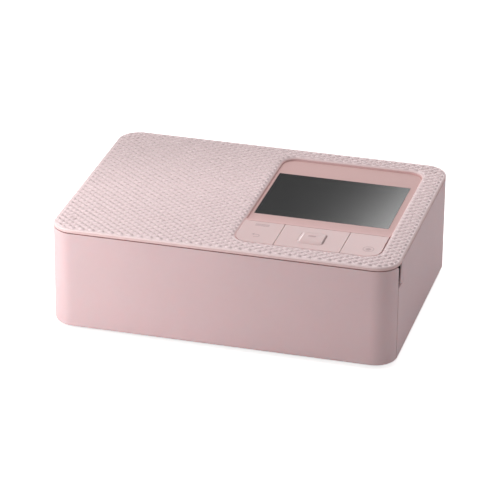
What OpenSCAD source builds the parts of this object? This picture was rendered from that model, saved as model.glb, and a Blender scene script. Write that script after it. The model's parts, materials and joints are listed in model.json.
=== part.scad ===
// Compact photo printer: a low plastic box with a door wrapped round its whole front, a small
// ink door in its left side, a display and keys sunk into its textured top, and a steel print
// chassis inside with rollers, a print head on a swinging arm, and a gear train.
// Millimetres, +Z up, front towards -Y, origin on the table under the middle of the casing.

/* [Casing] */
// Width of the casing
body_w = 182.2; // [178:0.1:200]
// Depth of the casing
body_d = 133; // [130:0.1:150]
// Height of the casing above the table
body_h = 58; // [57:0.1:64]
// Radius of the four upright corners
corner_r = 12; // [10:0.1:16]
// Wall of the side housing
wall = 2.4; // [2.2:0.1:3]
// Wall of the front door
door_wall = 2.2; // [2:0.1:2.6]
// Rounding of the lower edge
edge_r = 2; // [1:0.1:2.1]
// Height of the rubber feet under the casing
foot_h = 2; // [1.5:0.1:4]
// Radius of a rubber foot
foot_r = 7; // [4:0.1:9]
// Depth that a foot is sunk into the floor
foot_sink = 0.6; // [0.3:0.1:1]
// Thickness of the floor of the bottom case
floor_t = 2.2; // [1.8:0.1:3]
// Free play between two fixed plastic parts
fit_gap = 0.15; // [0.1:0.01:0.3]
// Distance from the front of the casing to the seam behind the front door
door_seam_back = 9.25; // [8:0.05:10]
// Width of the seam behind the front door
door_seam = 0.5; // [0.4:0.05:0.8]

/* [Top cover] */
// Thickness of the top cover at its edge
cover_t = 2.4; // [2:0.05:3]
// Dark gap between the top cover and the walls under it
cover_gap = 0.5; // [0.3:0.05:0.8]
// Rounding of the top cover's upper edge
cover_edge_r = 1; // [0.5:0.1:1.5]
// Height of the bumps that cover the top
bump_h = 0.5; // [0.3:0.05:0.6]
// Radius of a bump
bump_r = 1.6; // [1.2:0.05:1.65]
// Distance between bumps of one row
bump_step_x = 5.182; // [4.5:0.001:6]
// Distance between every second row of bumps
bump_step_y = 4.242; // [4:0.001:5]
// Height of the locating skirt under the cover
skirt_h = 3; // [2:0.1:5]
// Thickness of the locating skirt
skirt_t = 1.2; // [0.8:0.1:1.6]

/* [Display panel and keys] */
// Width of the panel opening
panel_w = 76.6; // [75:0.1:84]
// Distance from the opening to the front
panel_front = 12.2; // [10:0.1:16]
// Distance from the opening to the right side
panel_side = 11.5; // [10:0.1:20]
// Distance from the opening to the rear
panel_rear = 10.8; // [9:0.1:14]
// Radius of the opening's corners
panel_r = 8; // [5:0.1:10]
// Thickness of the bezel plate
bezel_t = 1.5; // [1.2:0.1:2]
// Width of the display window
lcd_w = 71.5; // [60:0.1:72]
// Depth of the display window
lcd_d = 53.3; // [45:0.1:55]
// Distance from the window to the right edge of the opening
lcd_side = 3.5; // [1:0.05:4]
// Share of the free depth beside the window that lies behind it
lcd_share = 0.64; // [0.5:0.001:0.7]
// Depth of the display panel under the textured field
panel_drop = 1.7; // [1.3:0.05:1.8]
// Width of the sloped edge round the opening
panel_edge = 0.8; // [0.2:0.05:1]
// Gap between the panel and the opening it fills
deck_gap = 0.05; // [0.03:0.01:0.15]
// Thickness of the window pane
pane_t = 1; // [0.8:0.1:1.2]
// Width of the ledge that carries the pane
ledge = 1.5; // [1:0.1:2]
// Thickness of the display module
lcd_t = 3.5; // [3:0.1:4]
// Depth of the row of keys
key_d = 25.5; // [22:0.1:28]
// Width of the menu and back key
menu_w = 21.7; // [18:0.1:24]
// Width of the arrow key
nav_w = 34.5; // [28:0.1:36]
// Width and depth of the round-cornered button in the arrow key
ok_w = 13.4; // [10:0.1:14]
// Depth of the fixed bar behind the keys
bar_d = 1.9; // [1.5:0.1:3]
// Half of the gap between two keys
key_gap = 0.15; // [0.12:0.01:0.25]
// Gap between the row of keys and the opening
row_gap = 0.3; // [0.3:0.01:0.4]
// Gap round the button in the arrow key
ok_gap = 0.3; // [0.3:0.01:0.4]
// Depth of the keys under the textured field
key_sink = 0.25; // [0.05:0.05:0.4]
// Thickness of a key cap
key_t = 2; // [1.6:0.1:2.2]
// Travel of a push key
key_travel = 0.5; // [0.3:0.05:0.6]

/* [Front door hinge and mouth] */
// Distance of the hinge axis behind the front
hinge_back = 3.1; // [3:0.05:3.3]
// Height of the hinge axis above the casing's lower edge
hinge_up = 2.2; // [2.1:0.05:2.4]
// Radius of the hinge knuckles
knuckle_r = 1.6; // [1.4:0.05:1.7]
// Radius of the hinge pins
pin_r = 0.9; // [0.7:0.05:1]
// Distance of each hinge from the middle
hinge_x = 66; // [50:1:72]
// Width of a hinge ear
ear_w = 4; // [3:0.1:5]
// Running play on a hinge pin
pin_play = 0.05; // [0.03:0.01:0.08]
// Height of the mouth for paper
mouth_h = 28; // [26:0.1:30]
// Thickness of the front frame
frame_t = 2; // [1.5:0.1:2.5]
// Gap between the door seam and the front frame
frame_back = 0.55; // [0.5:0.05:1]
// Height of the finger notch
notch_h = 12.3; // [10:0.1:16]
// Length of the finger notch along the side, at its upper end
notch_l = 7.3; // [6:0.1:9]
// Length of the finger notch along the side, at its lower end
notch_low_l = 5; // [4:0.1:6]
// Length of the shallow scoop behind the notch
scoop_l = 5; // [4:0.1:6]
// Depth of the shallow scoop
scoop_deep = 0.5; // [0.3:0.1:0.8]
// Thickness of the wall behind the notch
notch_skin = 1.2; // [1:0.1:1.6]
// Bevel of the two rear corners of the door's sides
door_bevel = 1; // [0.8:0.1:1.2]

/* [Ink door] */
// Rear edge of the ink door opening
ink_y1 = 54; // [50:0.1:54]
// Front edge of the ink door opening
ink_y0 = -19; // [-24:0.1:-18]
// Lower edge of the ink door opening
ink_z0 = 16; // [14:0.1:18]
// Upper edge of the ink door opening
ink_z1 = 50; // [48.8:0.1:51]
// Seam round the ink door
ink_seam = 0.3; // [0.25:0.05:0.5]

/* [Chassis] */
// Height of the paper path above the table
paper_z = 25.5; // [25:0.1:26.5]
// Width of the paper
paper_w = 100; // [89:1:102]
// Distance from the left side plate's inner face to the left side
plate_in0 = 13.1; // [12:0.1:14.5]
// Distance from the right side plate's inner face to the right side
plate_in1 = 47.1; // [46:0.1:49]
// Thickness of the side plates
plate_t = 1.2; // [1:0.1:1.5]
// Thickness of the chassis base
base_t = 1; // [0.8:0.1:1.2]
// Position of the grip roller, front to back
grip_y = -6; // [-7:0.1:-5]
// Radius of the grip roller
grip_r = 3; // [2.8:0.1:3.2]
// Position of the platen roller, front to back
platen_y = 26; // [25:0.1:27]
// Radius of the platen roller
platen_r = 7; // [6:0.1:7.5]
// Radius of every roller journal and stub axle
journal_r = 1.5; // [1.2:0.05:1.6]
// Outer radius of a bush
bush_r = 2.4; // [2.2:0.05:2.6]
// Radius of a bush flange
bush_flange_r = 3.1; // [2.8:0.05:3.2]
// Running play in a bush
bush_play = 0.05; // [0.03:0.01:0.08]
// Gap between the grip roller and its pinch roller
nip_gap = 0.5; // [0.3:0.05:0.8]
// Clear radius for an ink spool
spool_r = 9; // [8:0.1:9.2]

/* [Gears] */
// Gear module, the pitch diameter of one tooth
gear_m = 0.8; // [0.75:0.01:0.82]
// Teeth of the grip gear
grip_n = 30; // [28:1:30]
// Teeth of the platen gear
platen_n = 20; // [18:1:20]
// Teeth of the idler between grip and platen
idler_n = 17; // [17:1:18]
// Teeth of the take-up gear
takeup_n = 20; // [18:1:20]
// Teeth of the pick-up gear
pickup_n = 28; // [26:1:28]
// Teeth of the large reduction wheel
reduce_big_n = 28; // [26:1:28]
// Teeth of the small reduction wheel
reduce_small_n = 12; // [12:1:13]
// Teeth of the feed motor pinion
motor_n = 12; // [12:1:13]
// Teeth of the head cam gear
cam_n = 24; // [20:1:24]
// Teeth of the head motor pinion
head_pinion_n = 10; // [10:1:12]
// Width of a gear
gear_w = 4; // [3:0.1:4]

/* [Print head] */
// Height of the head arm's pivot
pivot_z = 48; // [47.9:0.1:48.2]
// Position of the head arm's pivot, front to back
pivot_y = 54; // [53.5:0.1:54.5]
// Radius of the pivot shaft
pivot_r = 2; // [1.6:0.1:2.1]
// Swing of the head arm from raised to printing, in degrees
head_swing = 6.4; // [5:0.1:6.5]
// Thickness of the head arm
arm_t = 1.5; // [1.2:0.1:1.6]
// Thickness of the heat sink, front to back
sink_d = 8.6; // [7:0.1:9]
// Largest radius of the head cam
cam_r = 7; // [6.5:0.1:7.1]

/* [Hidden] */
$fn = 64;
eps = 0.01;

pink = [0.84, 0.72, 0.71];
pink_dark = [0.76, 0.62, 0.62];
steel = [0.72, 0.73, 0.75];
dark = [0.16, 0.16, 0.17];
gear_white = [0.90, 0.89, 0.85];
board_green = [0.10, 0.35, 0.22];

// heights of the shell
front_y = -body_d / 2;
rear_y = body_d / 2;
side_x = body_w / 2;
cover_z = body_h - cover_t;
shell_z = cover_z - cover_gap;
field_z = body_h - bump_h;
// middle of the bump pattern, and how far its corner bumps lie from there
bump_x = 1.44;
bump_y = 1.99;
bump_side = 6.5;
bump_end = 8.5;
bump_far_x = bump_step_x * floor((side_x - bump_side) / bump_step_x);
bump_far_y = bump_step_y * floor((rear_y - bump_end) / bump_step_y);
floor_z = foot_h + floor_t;
seam_y = front_y + door_seam_back;
housing_y = seam_y + door_seam;
frame_y = housing_y + frame_back;
frame_back_y = frame_y + frame_t;

// places of the case screws and the feet, from the front frame, the rear and the sides
screw_front = 12;
screw_rear = 9;
screw_side = 7.6;
foot_side = 20;
foot_end = 18;

// the panel opening and what lies in it
panel_x1 = side_x - panel_side;
panel_x0 = panel_x1 - panel_w;
panel_y1 = rear_y - panel_rear;
panel_y0 = front_y + panel_front;
panel_d = panel_y1 - panel_y0;
panel_cx = (panel_x0 + panel_x1) / 2;
panel_cy = (panel_y0 + panel_y1) / 2;
bezel_z = cover_z - 0.05;
bezel_lap = 2.5;
deck_z = field_z - panel_drop;
lcd_rear = lcd_share * (panel_d - key_d - bar_d - lcd_d);
lcd_cx = panel_x1 - lcd_side - lcd_w / 2;
lcd_cy = panel_y1 - lcd_rear - lcd_d / 2;
key_y1 = panel_y0 + key_d;
key_cy = panel_y0 + key_d / 2;
bar_y1 = key_y1 + bar_d;
menu_x1 = panel_x0 + menu_w;
nav_x1 = menu_x1 + nav_w;
nav_cx = menu_x1 + nav_w / 2;
key_top_z = field_z - key_sink;
key_low_z = key_top_z - key_t;
nav_plate_t = 0.4;
carrier_gap = 0.35;
menu_throw = 7;
nav_side_x = 9.5;
nav_side_y = 10.6;
board_top_z = bezel_z - 4.6;
board_t = 1.2;
switch_h = 1.6;
plunger_h = 0.4;
stem_gap = key_travel + 0.2;
stem_z = board_top_z + switch_h + plunger_h + stem_gap;

// front door hinge and finger notch
hinge_y = front_y + hinge_back;
hinge_z = foot_h + hinge_up;
floor_front_y = hinge_y + hinge_back + 1.1;
notch_z0 = shell_z - notch_h;

// ink door hinge
ink_pin_x = -side_x + wall + 0.3;
ink_pin_z = ink_z0 + ink_seam + 2.65;
ink_pin_r = 0.8;
ink_knuckle_r = 1.7;
ink_ear_w = 3.4;
ink_knuckle_w = 5;

// roller, spool and gear centres as [y, z]
function pitch_r(n) = gear_m * n / 2;
function mate(c, n1, n2, a) = c + (pitch_r(n1) + pitch_r(n2)) * [cos(a), sin(a)];
function gap_between(p, q) = norm(q - p);
function heading(p, q) = atan2(q[1] - p[1], q[0] - p[0]);
function third_corner(p, a, q, b) = let(
    d = gap_between(p, q),
    along = (a * a - b * b + d * d) / (2 * d),
    off = sqrt(a * a - along * along),
    h = heading(p, q)
) p + along * [cos(h), sin(h)] + off * [sin(h), -cos(h)];
// turn of a wheel at q so that its gap meets a tooth of the wheel at p
function mesh_turn(turn, n1, n2, a) = a + 180 + (a - turn) * n1 / n2 - 180 / n2;

grip_at = [grip_y, paper_z - grip_r];
pinch_at = [grip_y, paper_z + nip_gap + grip_r];
platen_at = [platen_y, paper_z - platen_r];
takeup_at = mate(grip_at, grip_n, takeup_n, 45);
spool_z = takeup_at[1];
supply_at = [2 * platen_y - takeup_at[0], spool_z];
pickup_at = mate(grip_at, grip_n, pickup_n, 153.4);
reduce_at = mate(pickup_at, pickup_n, reduce_small_n, 215);
motor_at = mate(reduce_at, reduce_big_n, motor_n, 0);
idler_at = third_corner(grip_at, pitch_r(grip_n) + pitch_r(idler_n),
                        platen_at, pitch_r(platen_n) + pitch_r(idler_n));
pivot_at = [pivot_y, pivot_z];
follower_r = 1.5;
follower_at = [platen_y, pivot_z - 1];
cam_at = [platen_y, follower_at[1] - follower_r - 0.35 - cam_r];
head_pinion_at = mate(cam_at, cam_n, head_pinion_n, -60);
// height lost by the follower when the head goes down
follower_drop = (pivot_at[0] - follower_at[0]) * sin(head_swing)
    - (pivot_at[1] - follower_at[1]) * (1 - cos(head_swing));

pickup_turn = mesh_turn(0, grip_n, pickup_n, heading(grip_at, pickup_at));
takeup_turn = mesh_turn(0, grip_n, takeup_n, heading(grip_at, takeup_at));
idler_turn = mesh_turn(0, grip_n, idler_n, heading(grip_at, idler_at));
platen_turn = mesh_turn(idler_turn, idler_n, platen_n, heading(idler_at, platen_at));
reduce_turn = mesh_turn(pickup_turn, pickup_n, reduce_small_n, heading(pickup_at, reduce_at));
motor_turn = mesh_turn(reduce_turn, reduce_big_n, motor_n, heading(reduce_at, motor_at));
head_pinion_turn = mesh_turn(0, cam_n, head_pinion_n, heading(cam_at, head_pinion_at));

// inner faces of the side plates
plate_x0 = -side_x + plate_in0;
plate_x1 = side_x - plate_in1;

// layers of the gear train, outwards from the right side plate
plate_out_x1 = plate_x1 + plate_t;
plate_out_x0 = plate_x0 - plate_t;
flange_t = 1;
layer_gap = 0.5;
cam_x = plate_out_x1 + flange_t + 0.4;
cam_w = 2.8;
cam_gear_x = cam_x + cam_w + 0.3;
train_x = cam_gear_x + gear_w + layer_gap;
motor_x = train_x + gear_w + layer_gap;
bracket_x = motor_x + gear_w + 0.8;
bracket_t = 1.2;
can_x = bracket_x + bracket_t;
feed_can_r = 12;
feed_can_l = 16;
head_can_r = 10;
head_can_l = 19;

// chassis heights and side plates
base_z = floor_z + 0.2;
base_top_z = base_z + base_t;
plate_y0 = frame_back_y + 0.3;
plate_y1 = pivot_y + 5.1;
plate_top_z = pivot_z + 0.6;
plate_ear_z = pivot_z + 4;
window_z0 = spool_z - spool_r - 0.8;
window_z1 = spool_z + spool_r + 0.4;
window_y0 = takeup_at[0] - spool_r;
window_y1 = supply_at[0] + spool_r + 0.5;
mouth_z0 = base_top_z + 0.5;
paper_cx = (plate_x0 + plate_x1) / 2;
paper_x0 = paper_cx - paper_w / 2;
paper_x1 = paper_cx + paper_w / 2;
arm_z = plate_top_z - arm_t - 0.4;
head_y = platen_y - 2.3;
tie_y = pivot_y + 3.9;

// boards
pcb_z = floor_z + 1.4;
pcb_t = 1.6;
pcb_top_z = pcb_z + pcb_t;
pcb_x0 = plate_out_x1 + 2.8;
pcb_x1 = side_x - 11;
jack_x = pcb_x1 - 4.5;
usb_x = pcb_x0 + 12;
reader_h = 3.4;
reader_x0 = pcb_x0 + 3.5;
reader_x1 = reader_x0 + 28;
reader_l = 27.7;
reader_wall = 1.7;
card_h = 2.2;
vent_w = 1.6;
vent_step = 3;
floor_vent_l = 24;

// ---------- general shapes ----------

// Puts a flat outline, drawn as (y, z), between two x positions.
module along_x(x0, x1) {
    translate([x0, 0, 0]) rotate([90, 0, 90]) linear_extrude(height = x1 - x0) children();
}

// Round bar along x through the point [y, z].
module bar_x(at, r, x0, x1) {
    translate([x0, at[0], at[1]]) rotate([0, 90, 0]) cylinder(r = r, h = x1 - x0);
}

// Box between two corners.
module box(low, high) {
    translate(low) cube(high - low);
}

// Rectangle with round corners, centred.
module soft_rect(w, d, r) {
    square([w, d - 2 * r], center = true);
    square([w - 2 * r, d], center = true);
    for (sx = [-1, 1], sy = [-1, 1])
        translate([sx * (w / 2 - r), sy * (d / 2 - r)]) circle(r = r);
}

// Sweeps a flat section once round a rectangle with round corners. Its x is measured outwards
// from the rectangle's edge.
module around(w, d, r) {
    straight_x = w - 2 * r;
    straight_y = d - 2 * r;
    for (sx = [-1, 1], sy = [-1, 1])
        translate([sx * straight_x / 2, sy * straight_y / 2, 0])
            rotate([0, 0, atan2(sy, sx) - 45])
                rotate_extrude(angle = 90) translate([r, 0]) children();
    for (side = [0, 1]) {
        rotate([0, 0, 180 * side]) translate([w / 2, 0, 0]) rotate([90, 0, 0])
            linear_extrude(height = straight_y, center = true) children();
        rotate([0, 0, 90 + 180 * side]) translate([d / 2, 0, 0]) rotate([90, 0, 0])
            linear_extrude(height = straight_x, center = true) children();
    }
}

// Sweeps a flat section once round the casing.
module around_casing() {
    around(body_w, body_d, corner_r) children();
}

// Section of an upright wall with its lower outer edge rounded.
module wall_section(t) {
    intersection() {
        translate([-t, foot_h]) square([t, shell_z - foot_h]);
        union() {
            translate([-t, foot_h + edge_r]) square([t, shell_z]);
            translate([-2 * t - edge_r, foot_h]) square([2 * t, edge_r]);
            translate([-edge_r, foot_h + edge_r]) circle(r = edge_r);
        }
    }
}

// Tooth form of a gear as a flat outline.
function inv_deg(a) = tan(a) * 180 / PI - a;
function tooth_half(n, r) = let(
    base = pitch_r(n) * cos(20),
    a = acos(min(1, base / r))
) 90 / n * 0.93 + inv_deg(20) - inv_deg(a);
function gear_outline(n) = let(
    root = pitch_r(n) - 1.2 * gear_m,
    base = pitch_r(n) * cos(20),
    low = max(root + 0.1 * gear_m, base + 0.02),
    tip = pitch_r(n) + 0.9 * gear_m,
    flank = [[root, tooth_half(n, low)], [low, tooth_half(n, low)],
             [pitch_r(n), tooth_half(n, pitch_r(n))], [tip, tooth_half(n, tip)]]
) [for (i = [0 : n - 1]) each concat(
    [for (k = [0 : 3]) let(a = i * 360 / n - flank[k][1]) flank[k][0] * [cos(a), sin(a)]],
    [for (k = [3 : -1 : 0]) let(a = i * 360 / n + flank[k][1]) flank[k][0] * [cos(a), sin(a)]]
)];

module gear(at, n, turn, x0, w, bore) {
    color(gear_white) translate([0, at[0], at[1]]) along_x(x0, x0 + w) difference() {
        rotate(turn) polygon(gear_outline(n));
        circle(r = bore);
    }
}

// ---------- casing ----------

module screw_places() {
    for (sx = [-1, 1], y = [frame_y + screw_front, rear_y - screw_rear])
        translate([sx * (side_x - screw_side), y, 0]) children();
}

module foot_places() {
    for (sx = [-1, 1], sy = [-1, 1])
        translate([sx * (side_x - foot_side), sy * (rear_y - foot_end), 0]) children();
}

module bottom_case() {
    inset = wall + fit_gap;
    rib_h = 4;
    color(pink_dark) difference() {
        union() {
            intersection() {
                union() {
                    translate([0, 0, foot_h]) linear_extrude(height = floor_t)
                        soft_rect(body_w - 2 * inset, body_d - 2 * inset, corner_r - inset);
                    translate([0, 0, floor_z - eps]) linear_extrude(height = rib_h) difference() {
                        soft_rect(body_w - 2 * inset, body_d - 2 * inset, corner_r - inset);
                        soft_rect(body_w - 2 * inset - 3, body_d - 2 * inset - 3,
                                  corner_r - inset - 1.5);
                        translate([-body_w, -body_d])
                            square([2 * body_w, body_d + frame_back_y + 0.8]);
                        screw_places() {
                            circle(r = 3.5);
                            square([14, 2.4], center = true);
                        }
                        translate([paper_cx - 15, 0]) square([30, body_d]);
                        translate([pcb_x0 - 1, 0]) square([pcb_x1 - pcb_x0 + 2, body_d]);
                    }
                }
                box([-body_w, floor_front_y, 0], [body_w, body_d, body_h]);
            }
            for (sx = [-1, 1]) {
                bar_x([hinge_y, hinge_z], knuckle_r, sx * hinge_x - ear_w / 2,
                      sx * hinge_x + ear_w / 2);
                box([sx * hinge_x - ear_w / 2, hinge_y, hinge_z - 0.7],
                    [sx * hinge_x + ear_w / 2, floor_front_y + 1.8, hinge_z + knuckle_r]);
            }
            for (y = [frame_back_y + 10, 0, rear_y - 12])
                for (x = [pcb_x0 + 2.5, pcb_x1 - 2.5])
                    translate([x, y, floor_z - eps]) cylinder(r = 2, h = pcb_z - floor_z + eps);
        }
        for (sx = [-1, 1])
            bar_x([hinge_y, hinge_z], pin_r + eps, sx * hinge_x - ear_w, sx * hinge_x + ear_w);
        foot_places() translate([0, 0, foot_h - eps]) cylinder(r = foot_r, h = foot_sink + eps);
        screw_places() {
            translate([0, 0, foot_h - 1]) cylinder(r = 1.35, h = floor_t + 2);
            translate([0, 0, foot_h - eps]) cylinder(r = 2.9, h = 1.4 + eps);
        }
        for (x = [pcb_x0 + 2 : vent_step : pcb_x1 - 2 * vent_w])
            box([x, -floor_vent_l / 2, 0], [x + vent_w, floor_vent_l / 2, floor_z + 1]);
    }
}

// Cut for one finger notch: the front edge of the wall goes back, and a shallow scoop follows it.
module finger_notch(sx) {
    // hollow inside the wall, which keeps the notch dark
    hollow_l = notch_l + 9.5;
    x = sx * (side_x - notch_skin - wall / 2);
    box([x - wall / 2, seam_y, notch_z0 - 1], [x + wall / 2, housing_y + hollow_l, body_h]);
    scoop_r = (scoop_l * scoop_l + scoop_deep * scoop_deep) / (2 * scoop_deep);
    scoop_y = housing_y + notch_low_l;
    translate([sx * (side_x - scoop_deep + scoop_r), scoop_y, notch_z0])
        cylinder(r = scoop_r, h = body_h, $fn = 128);
    along_x(sx * (side_x - 4) - 6, sx * (side_x - 4) + 6)
        polygon([[seam_y, notch_z0], [scoop_y, notch_z0], [housing_y + notch_l, shell_z],
                 [housing_y + notch_l, body_h], [seam_y, body_h]]);
}

module side_housing() {
    ear_x0 = -side_x + wall - 0.4;
    color(pink) difference() {
        union() {
            intersection() {
                around_casing() wall_section(wall);
                box([-body_w, housing_y, 0], [body_w, body_d, body_h]);
            }
            // bosses for the case screws, each tied to the wall by a rib
            intersection() {
                screw_places() {
                    translate([0, 0, floor_z + 0.1]) cylinder(r = 3, h = 14);
                    box([-8, -0.7, floor_z + 0.1], [8, 0.7, floor_z + 14.1]);
                }
                difference() {
                    linear_extrude(height = shell_z)
                        soft_rect(body_w - 1, body_d - 1, corner_r - 0.5);
                    box([-side_x + 10.8, -body_d, -1], [side_x - 10.8, body_d, body_h]);
                }
                box([-body_w, -body_d, floor_z + 0.1], [body_w, body_d, shell_z]);
                union() {
                    screw_places() translate([0, 0, 0]) cylinder(r = 3, h = shell_z);
                    for (sx = [-1, 1])
                        box([sx * (side_x - 4) - 3.6, -body_d, 0],
                            [sx * (side_x - 4) + 3.6, body_d, shell_z]);
                }
            }
            // ears that hold the ink door's pins
            for (y = [ink_y0 - ink_ear_w, ink_y1])
                box([ear_x0, y, ink_pin_z - 2], [ink_pin_x + 1.8, y + ink_ear_w, ink_pin_z + 2]);
            // upright ribs inside the rear wall
            for (x = [paper_x0 - 14, paper_x1 + 10, pcb_x1 - 16])
                box([x, rear_y - wall - 1, paper_z + 9], [x + 1.2, rear_y - wall + 0.2, shell_z]);
        }
        for (sx = [-1, 1]) finger_notch(sx);
        // bores in the bosses
        screw_places() translate([0, 0, floor_z - 1]) cylinder(r = 1.15, h = 13);
        // ink door opening, with its lower edge sloped inwards to clear the door
        box([-side_x - 1, ink_y0, ink_z0], [-side_x + wall + 0.35, ink_y1, ink_z1]);
        along_y(ink_y0, ink_y1) polygon([[-side_x - eps, ink_z0 + eps],
            [-side_x + wall + 0.35, ink_z0 + eps], [-side_x + wall + 0.35, ink_z0 - 1.1]]);
        for (y = [ink_y0 - ink_ear_w - 1, ink_y1 - 1])
            translate([ink_pin_x, y, ink_pin_z]) rotate([-90, 0, 0])
                cylinder(r = ink_pin_r + eps, h = ink_ear_w + 2);
        // rear slot for the paper to pass in and out
        box([paper_x0 - 3, rear_y - wall - 2, paper_z - 1.2],
            [paper_x1 + 3, rear_y + 1, paper_z + 4.8]);
        // air vents
        for (x = [pcb_x0 + 1 : vent_step : pcb_x1 - vent_w])
            box([x, rear_y - wall - 2, paper_z + 8], [x + vent_w, rear_y + 1, shell_z - 7.25]);
        // sockets in the rear wall
        translate([jack_x, rear_y + 1, pcb_top_z + 4.5]) rotate([90, 0, 0])
            cylinder(r = 4.2, h = wall + 3);
        box([usb_x - 4.8, rear_y - wall - 2, pcb_top_z - 0.2], [usb_x + 4.8, rear_y + 1,
                                                                 pcb_top_z + 3.6]);
        box([paper_cx - 13, rear_y - wall - 2, floor_z + 2.4],
            [paper_cx + 13, rear_y + 1, floor_z + 9.4]);
    }
}

// Puts a flat outline, drawn as (x, z), between two y positions.
module along_y(y0, y1) {
    translate([0, y1, 0]) rotate([90, 0, 0]) linear_extrude(height = y1 - y0) children();
}

// One bump of the top, a low cap of a ball.
module bump() {
    ball_r = (bump_r * bump_r + bump_h * bump_h) / (2 * bump_h);
    rotate_extrude() intersection() {
        translate([0, bump_h - ball_r]) circle(r = ball_r, $fn = 180);
        translate([0, -0.3]) square([bump_r, bump_h + 1]);
    }
}

module top_cover() {
    skirt_in = wall + 0.25;
    color(pink) difference() {
        union() {
            translate([0, 0, cover_z]) linear_extrude(height = field_z - cover_z)
                soft_rect(body_w - 4, body_d - 4, corner_r - 2);
            around_casing() intersection() {
                translate([-3, cover_z]) square([3, field_z - cover_z]);
                union() {
                    translate([-3, cover_z]) square([3, field_z - cover_z - cover_edge_r]);
                    translate([-3, cover_z]) square([3 - cover_edge_r, field_z - cover_z]);
                    translate([-cover_edge_r, field_z - cover_edge_r]) circle(r = cover_edge_r);
                }
            }
            // of the bumps, the one at each corner of the pattern
            for (sx = [-1, 1], sy = [-1, 1])
                translate([bump_x + sx * bump_far_x, bump_y + sy * bump_far_y, field_z]) bump();
            // skirt that locates the cover inside the walls
            translate([0, 0, cover_z - skirt_h]) linear_extrude(height = skirt_h + eps)
                difference() {
                    soft_rect(body_w - 2 * skirt_in, body_d - 2 * skirt_in, corner_r - skirt_in);
                    soft_rect(body_w - 2 * skirt_in - 2 * skirt_t,
                              body_d - 2 * skirt_in - 2 * skirt_t, corner_r - skirt_in - skirt_t);
                    translate([-body_w, -body_d])
                        square([2 * body_w, body_d + housing_y + notch_l + 4]);
                    translate([0, body_d]) square([2 * body_w, body_d + 40], center = true);
                }
            // posts for the key board
            for (x = [panel_x0 - 3.5, panel_x1 + 3.5], k = [-8, 8])
                translate([x, key_cy + k, board_top_z])
                    cylinder(r = 2, h = cover_z - board_top_z + eps);
        }
        translate([panel_cx, panel_cy, cover_z - 1]) linear_extrude(height = cover_t + 2)
            soft_rect(panel_w, panel_d, panel_r);
        // sloped edge of the opening
        translate([panel_cx, panel_cy, 0]) around(panel_w, panel_d, panel_r)
            polygon([[-panel_edge, field_z - panel_edge], [0, field_z - panel_edge],
                     [panel_edge + eps, field_z + eps], [-panel_edge, field_z + eps]]);
    }
}

module panel_bezel() {
    color(pink_dark) difference() {
        union() {
            intersection() {
                translate([panel_cx, panel_cy, bezel_z - bezel_t]) linear_extrude(height = bezel_t)
                    soft_rect(panel_w + 2 * bezel_lap, panel_d + 2 * bezel_lap,
                              panel_r + bezel_lap);
                box([-body_w, key_y1 + key_gap, 0], [body_w, body_d, body_h]);
            }
            intersection() {
                translate([panel_cx, panel_cy, bezel_z - eps])
                    linear_extrude(height = deck_z - bezel_z + eps)
                        soft_rect(panel_w - 2 * deck_gap, panel_d - 2 * deck_gap,
                                  panel_r - deck_gap);
                box([-body_w, key_y1 + key_gap, 0], [body_w, body_d, body_h]);
            }
            box([panel_x0 + deck_gap, key_y1 + key_gap, bezel_z - eps],
                [panel_x1 - deck_gap, bar_y1, key_top_z]);
        }
        translate([lcd_cx, lcd_cy, bezel_z - bezel_t - 1]) linear_extrude(height = bezel_t + 4)
            square([lcd_w - 2 * ledge, lcd_d - 2 * ledge], center = true);
        translate([lcd_cx, lcd_cy, deck_z - pane_t]) linear_extrude(height = 2)
            square([lcd_w, lcd_d], center = true);
    }
}

module lcd_window() {
    color([0.30, 0.32, 0.33]) translate([lcd_cx, lcd_cy, deck_z - pane_t])
        linear_extrude(height = pane_t)
            square([lcd_w - 2 * fit_gap, lcd_d - 2 * fit_gap], center = true);
}

module lcd_module() {
    top = bezel_z - bezel_t - 0.1;
    color(dark) difference() {
        translate([lcd_cx, lcd_cy, top - lcd_t]) linear_extrude(height = lcd_t)
            square([lcd_w + 4, lcd_d + 6], center = true);
        translate([lcd_cx, lcd_cy, top - 0.4]) linear_extrude(height = 1)
            square([lcd_w - 2 * ledge, lcd_d - 2 * ledge], center = true);
    }
}

// ---------- front door ----------

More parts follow.
